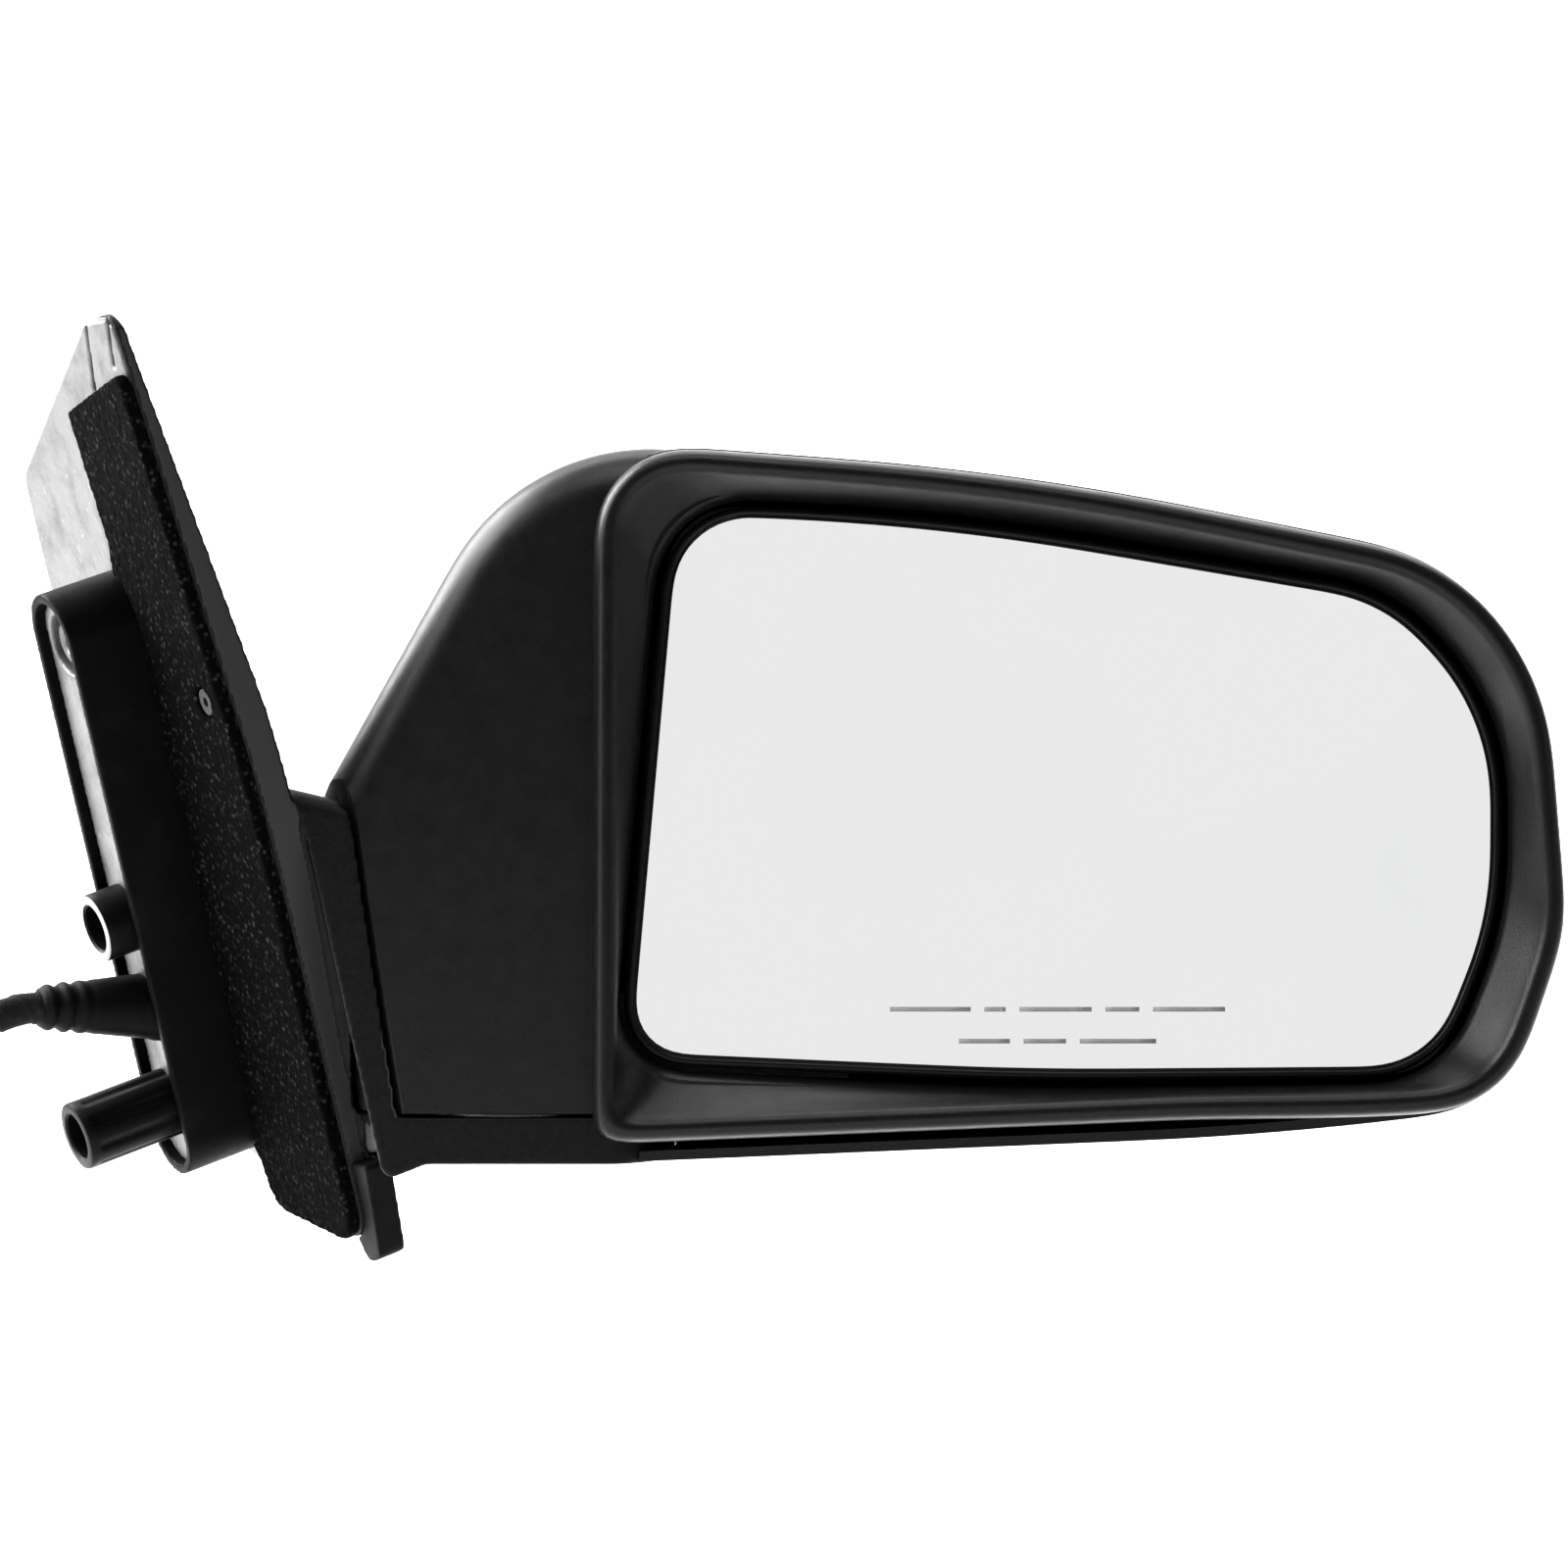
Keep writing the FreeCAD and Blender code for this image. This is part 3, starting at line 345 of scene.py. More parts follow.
def moulded(name, colour, rough=0.42, specular=0.4):
    """Smooth moulded plastic."""
    made = Finish(name, colour, rough, specular=specular)
    made.bump(made.noise(0.0009, 3), 0.00003)
    made.bump(made.noise(0.008, 2), 0.00012, 0.4)
    made.tint(made.curve(made.noise(0.006, 3), 0.45, 0.8), [c * 0.86 for c in colour])
    made.gloss(made.noise(0.004, 3), rough - 0.06, rough + 0.1)
    return made


MATERIAL = {
    "housing": finish_housing(), "shell": finish_shell(), "cover": finish_cover(),
    "foam": finish_foam(), "rubber": finish_rubber(),
    "cast": finish_cast(), "steel": brushed("turned_steel", (0.56, 0.55, 0.53), 0.32),
    "dark_steel": brushed("spring_steel", (0.22, 0.22, 0.23), 0.4),
    "screw": brushed("screw_zinc", (0.48, 0.47, 0.43), 0.34),
    "brass": brushed("worm_brass", (0.72, 0.52, 0.22), 0.3),
    "motor": brushed("motor_can", (0.62, 0.62, 0.62), 0.28),
    "tape": finish_tape(), "glass": finish_glass(),
    "frame": moulded("frame_plastic", (0.012, 0.012, 0.012), 0.5),
    "boss": moulded("boss_plastic", (0.0014, 0.0014, 0.0015), 0.42, 0.05),
    "light_ring": brushed("boss_face", (0.20, 0.20, 0.20), 0.5, 0.8),
    "etch": moulded("etched_grey", (0.16, 0.16, 0.165), 0.6, 0.2),
    "blackened": brushed("screw_black", (0.004, 0.004, 0.004), 0.5, 0.3),
    "nylon": moulded("natural_nylon", (0.62, 0.60, 0.54), 0.4),
    "acetal": moulded("acetal", (0.78, 0.77, 0.73), 0.35),
    "plug": moulded("connector_plastic", (0.045, 0.045, 0.047), 0.45),
    "heater": moulded("heater_foil", (0.42, 0.20, 0.07), 0.4),
    "carrier": moulded("carrier_plastic", (0.0018, 0.0018, 0.0019), 0.34, 0.09),
}


def dress(obj, finish):
    """Give an object one finish in every slot."""
    if not obj.material_slots:
        obj.data.materials.append(None)
    for place in obj.material_slots:
        place.material = MATERIAL[finish].material


NODE_FINISH = {
    "base_bracket": "cast", "foot_cover": "cover", "foam_gasket": "foam", "collar_seal": "rubber",
    "seal_lip": "rubber", "standoff_upper": "steel", "standoff_middle": "steel",
    "standoff_lower": "boss", "cable_boot": "rubber", "cable": "tape",
    "cable_connector": "plug", "harness_foot": "tape", "harness_head": "tape",
    "pivot_post": "steel", "detent_plate": "steel", "pivot_spring": "dark_steel",
    "spring_washer": "steel", "retaining_ring": "dark_steel", "cover_screws": "blackened",
    "pivot_bush": "nylon", "detent_balls": "steel", "housing_shell": "shell",
    "housing_bezel": "housing", "inner_frame": "frame", "frame_screws": "screw",
    "actuator_front": "nylon", "actuator_rear": "nylon", "actuator_screws": "screw",
    "actuator_connector": "plug", "motor_vertical": "motor", "motor_horizontal": "motor",
    "gimbal_ring": "acetal", "plunger_vertical": "acetal", "plunger_horizontal": "acetal",
    "gear_vertical": "acetal", "gear_horizontal": "acetal", "worm_vertical": "brass",
    "worm_horizontal": "brass", "mirror_glass": "glass", "heater_pad": "heater",
    "glass_carrier": "carrier",
}
for node, finish in NODE_FINISH.items():
    dress(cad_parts[node], finish)
floor_finish = Finish("backdrop_paper", (0.86, 0.86, 0.86), 0.9, specular=0.1)
floor_finish.bump(floor_finish.noise(0.004, 3), 0.0001, 0.3)
backdrop.data.materials.append(floor_finish.material)

# ---------------------------------------------------------------- mesh tools

ARC_STEPS = 10
SIDE_STEPS = 6


def outline(corners, grow=0.0, arc_steps=ARC_STEPS, side_steps=SIDE_STEPS):
    """Points of a closed outline of straight sides and round corners, moved outward by grow.

    corners holds (x, y, radius). Every outline with as many corners has as many points.
    """
    count = len(corners)
    flat = [Vector(corner[:2]) for corner in corners]
    area = sum(flat[i - 1].cross(flat[i]) for i in range(count))
    side = 1 if area > 0 else -1
    arcs = []
    for i in range(count):
        before = (flat[i] - flat[i - 1]).normalized()
        after = (flat[(i + 1) % count] - flat[i]).normalized()
        turn = side * math.atan2(before.cross(after), before.dot(after))
        growth = grow if turn > 0 else -grow
        radius = max(corners[i][2] + growth, 0.4)
        outward = (before - after).normalized()
        corner = flat[i] + outward * growth / math.cos(turn / 2)
        centre = corner - outward * radius / math.cos(turn / 2)
        start = corner - before * radius * math.tan(abs(turn) / 2) - centre
        spin = turn * side
        arcs.append([
            centre + Matrix.Rotation(spin * k / arc_steps, 2) @ start for k in range(arc_steps + 1)
        ])
    points = []
    for i, arc in enumerate(arcs):
        points += arc
        goal = arcs[(i + 1) % count][0]
        points += [arc[-1].lerp(goal, k / side_steps) for k in range(1, side_steps)]
    return np.array([(p.x, p.y) for p in points])


LOOP_POINTS = 260


def smooth_loop(points, rounds):
    """Space a closed loop's points evenly, then let its flats and arcs flow together."""
    ring = np.vstack([points, points[:1]])
    along = np.concatenate([[0], np.cumsum(np.linalg.norm(np.diff(ring, axis=0), axis=1))])
    spots = np.linspace(0, along[-1], LOOP_POINTS, endpoint=False)
    points = np.column_stack([np.interp(spots, along, ring[:, k]) for k in (0, 1)])
    for _ in range(rounds):
        points = 0.5 * points + 0.25 * (np.roll(points, 1, 0) + np.roll(points, -1, 0))
    return points


def upright(flat, depth):
    """An outline in x and z, stood up at a depth in y."""
    depth = np.broadcast_to(depth, len(flat))
    return np.column_stack([flat[:, 0], depth, flat[:, 1]])


def level(flat, height):
    """An outline in x and y, laid at a height in z."""
    height = np.broadcast_to(height, len(flat))
    return np.column_stack([flat[:, 0], flat[:, 1], height])


def add_piece(name, mesh, body, finish, smooth_angle=None):
    """Put a finished mesh in the scene on its body."""
    obj = bpy.data.objects.new(name, mesh)
    scene.collection.objects.link(obj)
    mesh.shade_smooth()
    if smooth_angle is not None:
        mesh.set_sharp_from_angle(angle=math.radians(smooth_angle))
    mesh.materials.clear()
    mesh.materials.append(MATERIAL[finish].material)
    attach(obj, body)
    return obj


def rings_mesh(name, rings, place, caps=(True, True), closed=False):
    """Skin a list of equal rings. caps closes the first and last with a fan."""
    count = len(rings[0])
    verts = np.vstack(rings)
    faces = []
    spans = len(rings) if closed else len(rings) - 1
    for r in range(spans):
        low, high = r * count, (r + 1) % len(rings) * count
        for i in range(count):
            j = (i + 1) % count
            faces.append((low + i, low + j, high + j, high + i))
    verts = [tuple(v) for v in verts]
    if not closed:
        for end, wanted in ((0, caps[0]), (len(rings) - 1, caps[1])):
            if wanted:
                verts.append(tuple(np.mean(rings[end], 0)))
                hub, base = len(verts) - 1, end * count
                for i in range(count):
                    faces.append((base + i, base + (i + 1) % count, hub))
    mesh = bpy.data.meshes.new(name)
    mesh.from_pydata(verts, [], faces)
    mesh.transform(place)
    build = bmesh.new()
    build.from_mesh(mesh)
    bmesh.ops.remove_doubles(build, verts=build.verts, dist=1e-7)
    bmesh.ops.recalc_face_normals(build, faces=build.faces)
    build.to_mesh(mesh)
    build.free()
    return mesh


def combined(name, base, others):
    """Boolean a mesh with others: each is ("UNION" or "DIFFERENCE" or "INTERSECT", mesh)."""
    work = bpy.data.objects.new(name, base)
    scene.collection.objects.link(work)
    for operation, mesh in others:
        tool = bpy.data.objects.new(name + "_tool", mesh)
        scene.collection.objects.link(tool)
        step = work.modifiers.new(operation, "BOOLEAN")
        step.operation = operation
        step.solver = "EXACT"
        step.object = tool
        bpy.context.view_layer.update()
        graph = bpy.context.evaluated_depsgraph_get()
        made = bpy.data.meshes.new_from_object(work.evaluated_get(graph))
        work.modifiers.clear()
        work.data = made
        bpy.data.objects.remove(tool)
    made = work.data
    bpy.data.objects.remove(work)
    build = bmesh.new()
    build.from_mesh(made)
    bmesh.ops.remove_doubles(build, verts=build.verts, dist=2e-6)
    bmesh.ops.dissolve_degenerate(build, edges=build.edges, dist=1e-6)
    build.to_mesh(made)
    build.free()
    return made


def softened(name, nodes, voxel, rounds, body, finish, shape=None):
    """Copy CAD solids, melt their edges round and put the copy in their place."""
    build = bmesh.new()
    for node in nodes:
        build.from_mesh(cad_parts[node].data)
    bmesh.ops.remove_doubles(build, verts=build.verts, dist=1e-7)
    mesh = bpy.data.meshes.new(name)
    build.to_mesh(mesh)
    build.free()
    work = bpy.data.objects.new(name + "_work", mesh)
    scene.collection.objects.link(work)
    melt = work.modifiers.new("melt", "REMESH")
    melt.mode = "VOXEL"
    melt.voxel_size = voxel * MM
    ease = work.modifiers.new("ease", "SMOOTH")
    ease.factor = 0.5
    ease.iterations = rounds
    bpy.context.view_layer.update()
    graph = bpy.context.evaluated_depsgraph_get()
    made = bpy.data.meshes.new_from_object(work.evaluated_get(graph))
    bpy.data.objects.remove(work)
    if shape:
        coords = np.zeros(len(made.vertices) * 3, np.float32)
        made.vertices.foreach_get("co", coords)
        made.vertices.foreach_set("co", shape(coords.reshape(-1, 3)).astype(np.float32).ravel())
    made.name = name
    obj = add_piece(name, made, body, finish)
    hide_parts(*nodes)
    return obj


def circle(radius, count):
    """Points of a circle round the origin."""
    angles = np.linspace(0, 2 * math.pi, count, endpoint=False)
    return np.column_stack([np.cos(angles), np.sin(angles)]) * radius


def ease_step(value, low, high):
    """0 below low, 1 above high and a smooth S between them."""
    t = np.clip((value - low) / (high - low), 0, 1)
    return t * t * (3 - 2 * t)


# ---------------------------------------------------------------- head housing

BOWL = [
    (18, -89.9, 4), (18.5, 81.5, 22), (119.4, 74, 700), (218.5, 54.2, 52),
    (244, 27, 60), (249, -34, 42), (234.5, -76.5, 28), (179, -83.2, 800),
]
NECK = [(-60.9, -95, 1), (-60.9, -30.9, 1), (2.9, 83.3, 54), (90, 73.5, 10), (90, -95, 1)]
GLASS = [
    (27.6, -63.7, 12), (39, 63.8, 18), (95.6, 62.0, 600), (205.4, 43.4, 38),
    (231.2, 16.4, 52), (231.0, -31.0, 78), (216.6, -67.0, 22), (122, -67.6, 900),
]
BOWL_CENTRE = np.array((70.0, -4.0))
GLASS_CENTRE, GLASS_CURVE = (130.0, -29.0, -3.0), 1400.0
BACK = 52.0
WALL = 2.5
POST_HOLE_RADIUS = 25
WINDOW_CLEAR = 5.5
TURN_STEPS = 160
NECK_HALF, NECK_ROUND = 28.0, 12.0
CONE_LOW, CONE_HIGH = (-77.5, 37.6), (-8.3, 45.6)
SHELF_RADIUS = 38.5


def bowl_ring(depth, grow, scale=1.0, lift=0.0):
    """A ring round the bowl. lift raises its underside."""
    flat = smooth_loop(outline(BOWL, grow), 5)
    flat = BOWL_CENTRE + (flat - BOWL_CENTRE) * scale
    low = ease_step(-flat[:, 1], 40, 74) * (1 - ease_step(flat[:, 0], 150, 232))
    flat[:, 1] += lift * low
    return upright(flat, depth)


def bowl_side(inset):
    """Rings of the bowl's side and back, from the parting line backward."""
    keys = [(-24, -0.4, 1), (-20, -0.1, 1), (-12, 0, 1), (0, -0.6, 1), (12, -2.5, 1)]
    rings = [bowl_ring(y, grow - inset, s) for y, grow, s in keys]
    steps = 22
    for k in range(1, steps + 1):
        angle = math.pi / 2 * k / steps
        y = 12 + (BACK - 12 - inset) * math.sin(angle) ** 0.9
        scale = 0.985 * (0.30 + 0.70 * math.cos(angle) ** 0.62) if k < steps else 0.25
        rings.append(bowl_ring(y, -2.5 - inset, scale))
    return rings


def glass_ring(depth, grow):
    """A ring round the glass."""
    return upright(smooth_loop(outline(GLASS, grow), 3), depth)


BOTTOM_LIFT = 4.2
rim_profile = [
    (-24.6, -0.7, 0.98), (-28, -0.9, 1), (-33, -1.3, 1), (-36, -1.7, 1), (-37.7, -2.3, 1),
    (-38.7, -3.2, 1), (-39.0, -4.3, 1), (-38.8, -5.4, 1), (-38.1, -6.3, 1), (-37.0, -6.9, 1),
]


def bezel_rings():
    """Rim from the parting line forward, round its lip and back down the inner wall."""
    rings = [bowl_ring(y, grow, 1, BOTTOM_LIFT * share) for y, grow, share in rim_profile]
    last = rings[-1]
    floor = glass_ring(-25.2, 3.7)
    for k in range(1, 7):
        t = k / 6
        rings.append(last * (1 - t) + floor * t)
    rings += [glass_ring(-23.0, 3.6), glass_ring(-21.5, 5.5)]
    hidden = [(-21.5, -WALL - 1.5, 1), (-24.6, -WALL - 0.5, 0.98)]
    rings += [bowl_ring(y, grow, 1, BOTTOM_LIFT * share) for y, grow, share in hidden]
    return rings


def neck_block(inset):
    """The neck as a slab with fully rounded long edges."""
    half, radius = NECK_HALF - inset, NECK_ROUND
    rings = []
    for k in range(10):
        angle = math.pi / 2 * k / 9
        shrink = -radius * (1 - math.sin(angle)) - inset
        rings.append((-half + radius * (1 - math.cos(angle)), shrink))
    rings += [(-y, shrink) for y, shrink in reversed(rings)]
    made = [upright(smooth_loop(outline(NECK, shrink), 3), y) for y, shrink in rings]
    return rings_mesh("neck_block", made, FOLD_MM)


def cone_rings(extra, low, high):
    """Two rings of the cone about the fold axis."""
    slope = (CONE_HIGH[1] - CONE_LOW[1]) / (CONE_HIGH[0] - CONE_LOW[0])
    made = []
    for z in (low, high):
        radius = CONE_LOW[1] + slope * (z - CONE_LOW[0]) + extra
        made.append(level(circle(radius, TURN_STEPS), z))
    return made


def block(name, low, high, place):
    """A plain box, used only as a cutter."""
    flat = np.array([(low[0], low[1]), (high[0], low[1]), (high[0], high[1]), (low[0], high[1])], float)
    return rings_mesh(name, [level(flat, low[2]), level(flat, high[2])], place)


def shelf_cutter(top, radius):
    """The room under the neck that the foot's shelf turns in."""
    flat = circle(radius, TURN_STEPS)
    drum = rings_mesh("drum", [level(flat, top - 60), level(flat, top)], FOLD_MM)
    reach = math.sqrt(radius**2 - (NECK_HALF - 0.4) ** 2)
    side = block("side", (-140, -90, top - 60), (reach, 90, top), FOLD_MM)
    return combined("shelf_cutter", drum, [("UNION", side)])


def neck_end(extra):
    """What the neck keeps: the cone about the fold axis and all outboard of it."""
    cone = rings_mesh("cone", cone_rings(extra, CONE_LOW[0], 110), FOLD_MM)
    outboard = block("outboard", (4, -95, CONE_LOW[0]), (300, 95, 140), FOLD_MM)
    return combined("neck_end", cone, [("UNION", outboard)])


def build_shell():
    """Shell and neck in one moulding, hollow, with the rim a separate bezel."""
    side = bowl_side(0)
    outer = rings_mesh("bowl_outer", side, FOLD_MM)
    room = bowl_side(WALL)
    room[0] = room[0] - np.array((0, 3.0, 0))
    inner = rings_mesh("bowl_inner", room, FOLD_MM)
    neck_inner = combined("neck_inner", neck_block(WALL), [("INTERSECT", neck_end(-WALL))])
    neck_outer = combined("neck_outer", neck_block(0), [("INTERSECT", neck_end(0))])
    cutter = shelf_cutter(CONE_LOW[0], SHELF_RADIUS)
    post_hole = circle(POST_HOLE_RADIUS, 96)
    mouth = rings_mesh("mouth", [level(post_hole, -90), level(post_hole, -60)], FOLD_MM)
    window = [glass_ring(y, WINDOW_CLEAR) for y in (-60, -10)]
    front = rings_mesh("front", window, FOLD_MM)
    shell = combined("shell", outer, [("DIFFERENCE", cutter), ("UNION", neck_outer)])
    keep = [("DIFFERENCE", inner), ("DIFFERENCE", neck_inner), ("DIFFERENCE", mouth)]
    return combined("housing_body", shell, keep + [("DIFFERENCE", front)])


shell_mesh = build_shell()
housing = add_piece("housing_body", shell_mesh, "head", "shell", 32)
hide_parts("housing_shell")
bezel = add_piece(
    "housing_rim", rings_mesh("housing_rim", bezel_rings(), FOLD_MM, closed=True), "head",
    "housing",
)
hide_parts("housing_bezel")


# ---------------------------------------------------------------- glass

DOME_RINGS = 16


def ball_depth(flat, offset):
    """Depth of the convex glass at each point of an outline."""
    reach = (flat[:, 0] - GLASS_CENTRE[0]) ** 2 + (flat[:, 1] - GLASS_CENTRE[2]) ** 2
    curve = GLASS_CURVE - offset
    return GLASS_CENTRE[1] + GLASS_CURVE - np.sqrt(curve**2 - reach)


def domed_rings(offset, grow):
    """Rings on the convex face from its rim inward to a point."""
    centre = np.array((GLASS_CENTRE[0], GLASS_CENTRE[2]))
    rim = smooth_loop(outline(GLASS, grow), 3)
    rings = []
    for k in range(DOME_RINGS):
        t = k / DOME_RINGS
        flat = centre + (rim - centre) * (1 - t)
        rings.append(upright(flat, ball_depth(flat, offset)))
    return rings


def build_glass():
    """Convex glass with ground edges."""
    front = domed_rings(0, -0.6)[::-1]
    back = domed_rings(2.0, -0.3)
    edge = smooth_loop(outline(GLASS, 0), 3)
    rim = [upright(edge, ball_depth(edge, 0.45)), upright(edge, ball_depth(edge, 1.6))]
    return rings_mesh("mirror_face", front + rim + back, FOLD_MM)


def build_carrier_rim():
    """Bead of the carrier that wraps the glass edge."""
    profile = [
        (0.15, 1.2), (0.12, 0.3), (0.35, -0.25), (0.95, -0.5), (1.6, -0.35), (2.1, 0.2),
        (2.3, 1.0), (2.25, 3.0), (1.9, 4.9), (0.4, 5.0), (0.15, 4.4),
    ]
    rings = []
    for grow, offset in profile:
        flat = smooth_loop(outline(GLASS, grow), 3)
        rings.append(upright(flat, ball_depth(flat, offset)))
    return rings_mesh("carrier_rim", rings, FOLD_MM, closed=True)


glass = add_piece("mirror_face", build_glass(), "glass", "glass", 20)
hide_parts("mirror_glass")
add_piece("carrier_rim", build_carrier_rim(), "glass", "carrier")


# ---------------------------------------------------------------- etched marks

MARK_ROWS = [(-53.5, 128.5, [19, 5, 17, 8, 17]), (-61.0, 128.5, [12, 10, 18])]
MARK_GAP, MARK_HEIGHT = 3.2, 1.1
MARK_SPANS = 4
MARK_FRONT, MARK_BACK = -0.03, 0.15


def build_marks():
    """Two rows of plain dashes near the lower edge of the glass, closed and let into it."""
    row = MARK_SPANS + 1
    layer = 2 * row
    rim = [*range(row), *reversed(range(row, layer))]
    verts, faces = [], []
    for height, middle, lengths in MARK_ROWS:
        left = middle - (sum(lengths) + MARK_GAP * (len(lengths) - 1)) / 2
        for length in lengths:
            flat = np.array([
                (left + length * (k % row) / MARK_SPANS, height + MARK_HEIGHT * (k // row))
                for k in range(layer)
            ])
            start = len(verts)
            for depth in (MARK_FRONT, MARK_BACK):
                verts += [tuple(p) for p in upright(flat, ball_depth(flat, depth))]
            for k in range(start, start + MARK_SPANS):
                front = (k, k + 1, k + row + 1, k + row)
                faces += [front, tuple(corner + layer for corner in reversed(front))]
            edge = [start + k for k in rim]
            faces += [(b, a, a + layer, b + layer) for a, b in zip(edge, edge[1:] + edge[:1])]
            left += length + MARK_GAP
    mesh = bpy.data.meshes.new("etched_dashes")
    mesh.from_pydata(verts, [], faces)
    mesh.transform(FOLD_MM)
    return mesh


add_piece("etched_dashes", build_marks(), "glass", "etch")


# ---------------------------------------------------------------- foot

softened("sail_cover", ["foot_cover"], 0.75, 5, "foot", "cover")
softened("cast_bracket", ["base_bracket"], 0.6, 5, "foot", "cast")
softened("rubber_collar", ["collar_seal"], 0.45, 4, "foot", "rubber")
softened("rubber_lip", ["seal_lip"], 0.5, 8, "foot", "rubber")


def rough_pad(coords):
    """Give the foam its torn, open-celled faces and soft corners."""
    moved = coords.copy()
    for i, point in enumerate(coords):
        cell = Vector(point) / (2.2 * MM)
        push = noise.noise(cell) * 0.22 + noise.noise(cell * 2.7) * 0.16
        moved[i] = point - np.array(OUT) * push * MM
    return moved


foam = softened("foam_pad", ["foam_gasket"], 0.7, 3, "foot", "foam", shape=rough_pad)


# ---------------------------------------------------------------- lathe pieces

def frame_along(way):
    """A rotation whose Z axis points along way."""
    return Vector(way).to_track_quat("Z", "Y").to_matrix().to_4x4()


RIB_START, RIB_LEAST = 2.5, 8


def lathe(name, profile, place, segments=72, ribs=0, rib_depth=0.0):
    """Spin (radius, height) in millimetres round Z. ribs scallops the outside lengthwise."""
    angles = np.linspace(0, 2 * math.pi, segments, endpoint=False)
    rings = []
    for radius, height in profile:
        wave = np.ones(segments) * radius
        if ribs and height > RIB_START and radius > RIB_LEAST:
            wave = wave - rib_depth * (0.5 - 0.5 * np.cos(angles * ribs)) ** 3
        rings.append(level(np.column_stack([np.cos(angles), np.sin(angles)]) * wave[:, None], height))
    return rings_mesh(name, rings, place @ SCALE, closed=True)


PLATFORM_RISE = 15.0
BOOT_AT = Vector((45.5, -52, -PLATFORM_RISE))
boot_root = (DOOR_MM @ BOOT_AT.to_4d()).xyz
BOOT_WAY = Vector((-math.cos(DOOR_TURN), -math.sin(DOOR_TURN), 0))
BOOT_LENGTH = 24.0


def build_boot():
    """Moulded grommet boot that tapers onto the lead, creased where it bends."""
    profile = [(3.9, -6), (8.6, -6), (8.6, -1.2), (8.2, 0.2)]
    steps = 66
    for k in range(steps + 1):
        t = k / steps
        radius = 8.1 * (1 - t) ** 0.9 + 5.1 * (1 - (1 - t) ** 0.9)
        crease = 0.42 * math.sin(t * 2 * math.pi * 6.5) * float(ease_step(np.array(t), 0.45, 0.8))
        profile.append((radius + crease, 0.6 + t * (BOOT_LENGTH + 3)))
    profile += [(4.7, BOOT_LENGTH + 4.4), (3.9, BOOT_LENGTH + 4.6)]
    place = Matrix.Translation(boot_root) @ frame_along(BOOT_WAY)
    return lathe("grommet_boot", profile, place)


def build_boss(name, centre, rise, outer, bore, depth, ribs=0, rib_depth=0.0):
    """A round fixing boss with a rounded, lightly dished mouth."""
    mouth = (DOOR_MM @ Vector((centre[0], centre[1], -PLATFORM_RISE - rise, 1))).xyz
    end = max(rise + 6, depth + 1.5)
    profile = [
        (0.02, depth), (bore, depth), (bore, 0.6), (bore + 0.5, 0.05), (outer - 0.7, 0.0),
        (outer - 0.2, 0.2), (outer, 0.7), (outer, 2.4), (outer, 3.4),
        (outer, end / 2), (outer, end), (0.02, end),
    ]
    return lathe(name, profile, Matrix.Translation(mouth) @ DOOR, 96, ribs, rib_depth)


SQUARE_ON = 0.9


def light_face(obj):
    """Bare metal on the faces that look at the car."""
    obj.data.materials.append(MATERIAL["light_ring"].material)
    for face in obj.data.polygons:
        if np.array(face.normal) @ np.array(OUT) < -SQUARE_ON:
            face.material_index = 1


boss_upper = add_piece(
    "fixing_upper", build_boss("fixing_upper", (26, 40), -1, 5.15, 2.5, 13), "foot", "cast",
    35,
)
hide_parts("standoff_upper")
boss_middle = add_piece(
    "fixing_middle", build_boss("fixing_middle", (41.2, -29), 9, 8.5, 5.7, 13), "foot", "boss",
    35,
)
light_face(boss_middle)
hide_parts("standoff_middle")
boss_lower = add_piece(
    "fixing_lower", build_boss("fixing_lower", (51.5, -77), 26, 8.5, 5.7, 24, 8, 0.9), "foot",
    "boss", 35,
)
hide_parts("standoff_lower")
boot = add_piece("grommet_boot", build_boot(), "foot", "rubber", 50)
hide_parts("cable_boot")


# ---------------------------------------------------------------- lead

LEAD_DIAMETER = 8.0
lead_exit = boot_root + BOOT_WAY * BOOT_LENGTH * MM
LEAD_ROUTE = [
    lead_exit, lead_exit + BOOT_WAY * 15 * MM, Vector((-70, 15, -66)) * MM,
    Vector((-81, 7, -85)) * MM, Vector((-86.5, 1, -107)) * MM, Vector((-88, -2, -130)) * MM,
    Vector((-88, -2, -153)) * MM,
]


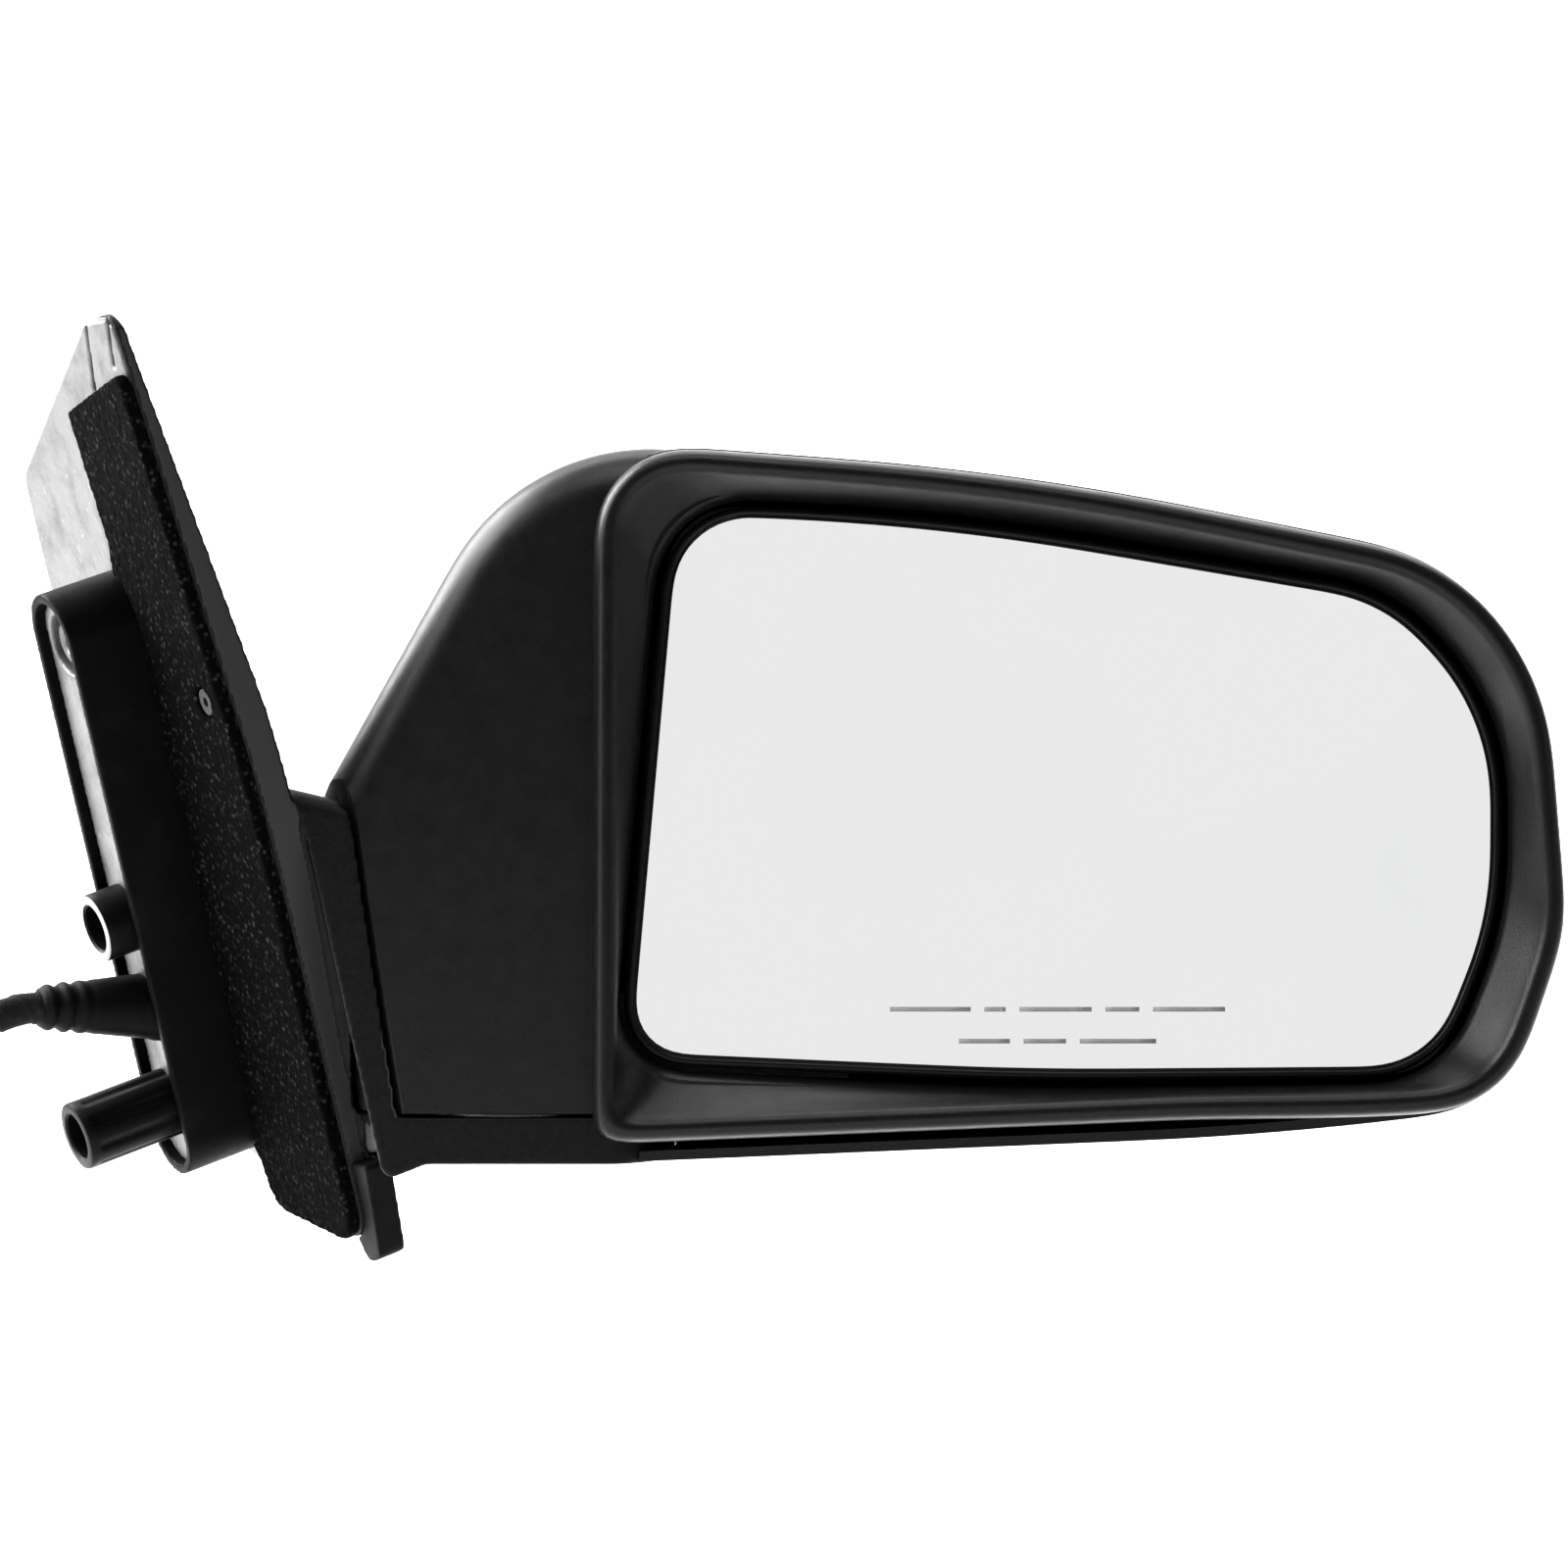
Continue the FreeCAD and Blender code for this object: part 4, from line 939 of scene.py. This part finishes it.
def lead_line(points):
    """Points along a smooth NURBS line through the route."""
    data = bpy.data.curves.new("lead_line", "CURVE")
    data.dimensions = "3D"
    spline = data.splines.new("NURBS")
    spline.points.add(len(points) - 1)
    for spot, point in zip(spline.points, points):
        spot.co = (*point, 1)
    spline.order_u = 3
    spline.use_endpoint_u = True
    spline.resolution_u = 24
    obj = bpy.data.objects.new("lead_line", data)
    scene.collection.objects.link(obj)
    graph = bpy.context.evaluated_depsgraph_get()
    line = bpy.data.meshes.new_from_object(obj.evaluated_get(graph))
    found = [v.co.copy() for v in line.vertices]
    bpy.data.objects.remove(obj)
    bpy.data.meshes.remove(line)
    return found


def even_spots(points, gap):
    """Points on a line a fixed gap apart."""
    line = np.array([tuple(p) for p in points])
    along = np.concatenate([[0], np.cumsum(np.linalg.norm(np.diff(line, axis=0), axis=1))])
    spots = np.linspace(0, along[-1], max(2, int(along[-1] / gap)))
    return np.column_stack([np.interp(spots, along, line[:, k]) for k in range(3)]), spots


def tube(name, points, radius_at, gap=0.5 * MM, segments=40):
    """A tube along points whose radius follows the length along it and the angle round it."""
    line, spots = even_spots(points, gap)
    angles = np.linspace(0, 2 * math.pi, segments, endpoint=False)
    side = Vector((0, 0, 1)).cross(Vector(line[1] - line[0])).normalized()
    rings = []
    for i, centre in enumerate(line):
        ahead = Vector(line[min(i + 1, len(line) - 1)] - line[max(i - 1, 0)]).normalized()
        side = (side - ahead * side.dot(ahead)).normalized()
        other = ahead.cross(side)
        radius = radius_at(spots[i] / MM, angles)[:, None] * MM
        ring = np.cos(angles)[:, None] * np.array(side) + np.sin(angles)[:, None] * np.array(other)
        rings.append(centre + ring * radius)
    return rings_mesh(name, rings, Matrix.Identity(4))


TAPE_PITCH = 9.0


def taped(along, angles):
    """Loom tape wound in a long spiral: each turn laps the last with a small step."""
    turn = (along / TAPE_PITCH - angles / (2 * math.pi)) % 1.0
    lap = 0.42 * turn ** 1.6 * (1 - ease_step(turn, 0.93, 1.0))
    strands = 0.16 * np.cos(3 * angles + along * 0.22)
    return LEAD_DIAMETER / 2 - 0.30 + lap + strands


lead_points = lead_line(LEAD_ROUTE)
lead_points[0] = lead_exit
cable = add_piece(
    "taped_lead", tube("taped_lead", lead_points, taped), "foot", "tape", 35,
)
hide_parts("cable")
plug = softened("lead_plug", ["cable_connector"], 0.45, 3, "foot", "plug")

# ---------------------------------------------------------------- card light

# Only the mirror receives the card's light, so the glass is bright and the plastics stay dark.
shown_in = bpy.data.collections.new("card_shown_in")
shown_in.objects.link(bpy.data.objects["mirror_face"])
card.light_linking.receiver_collection = shown_in
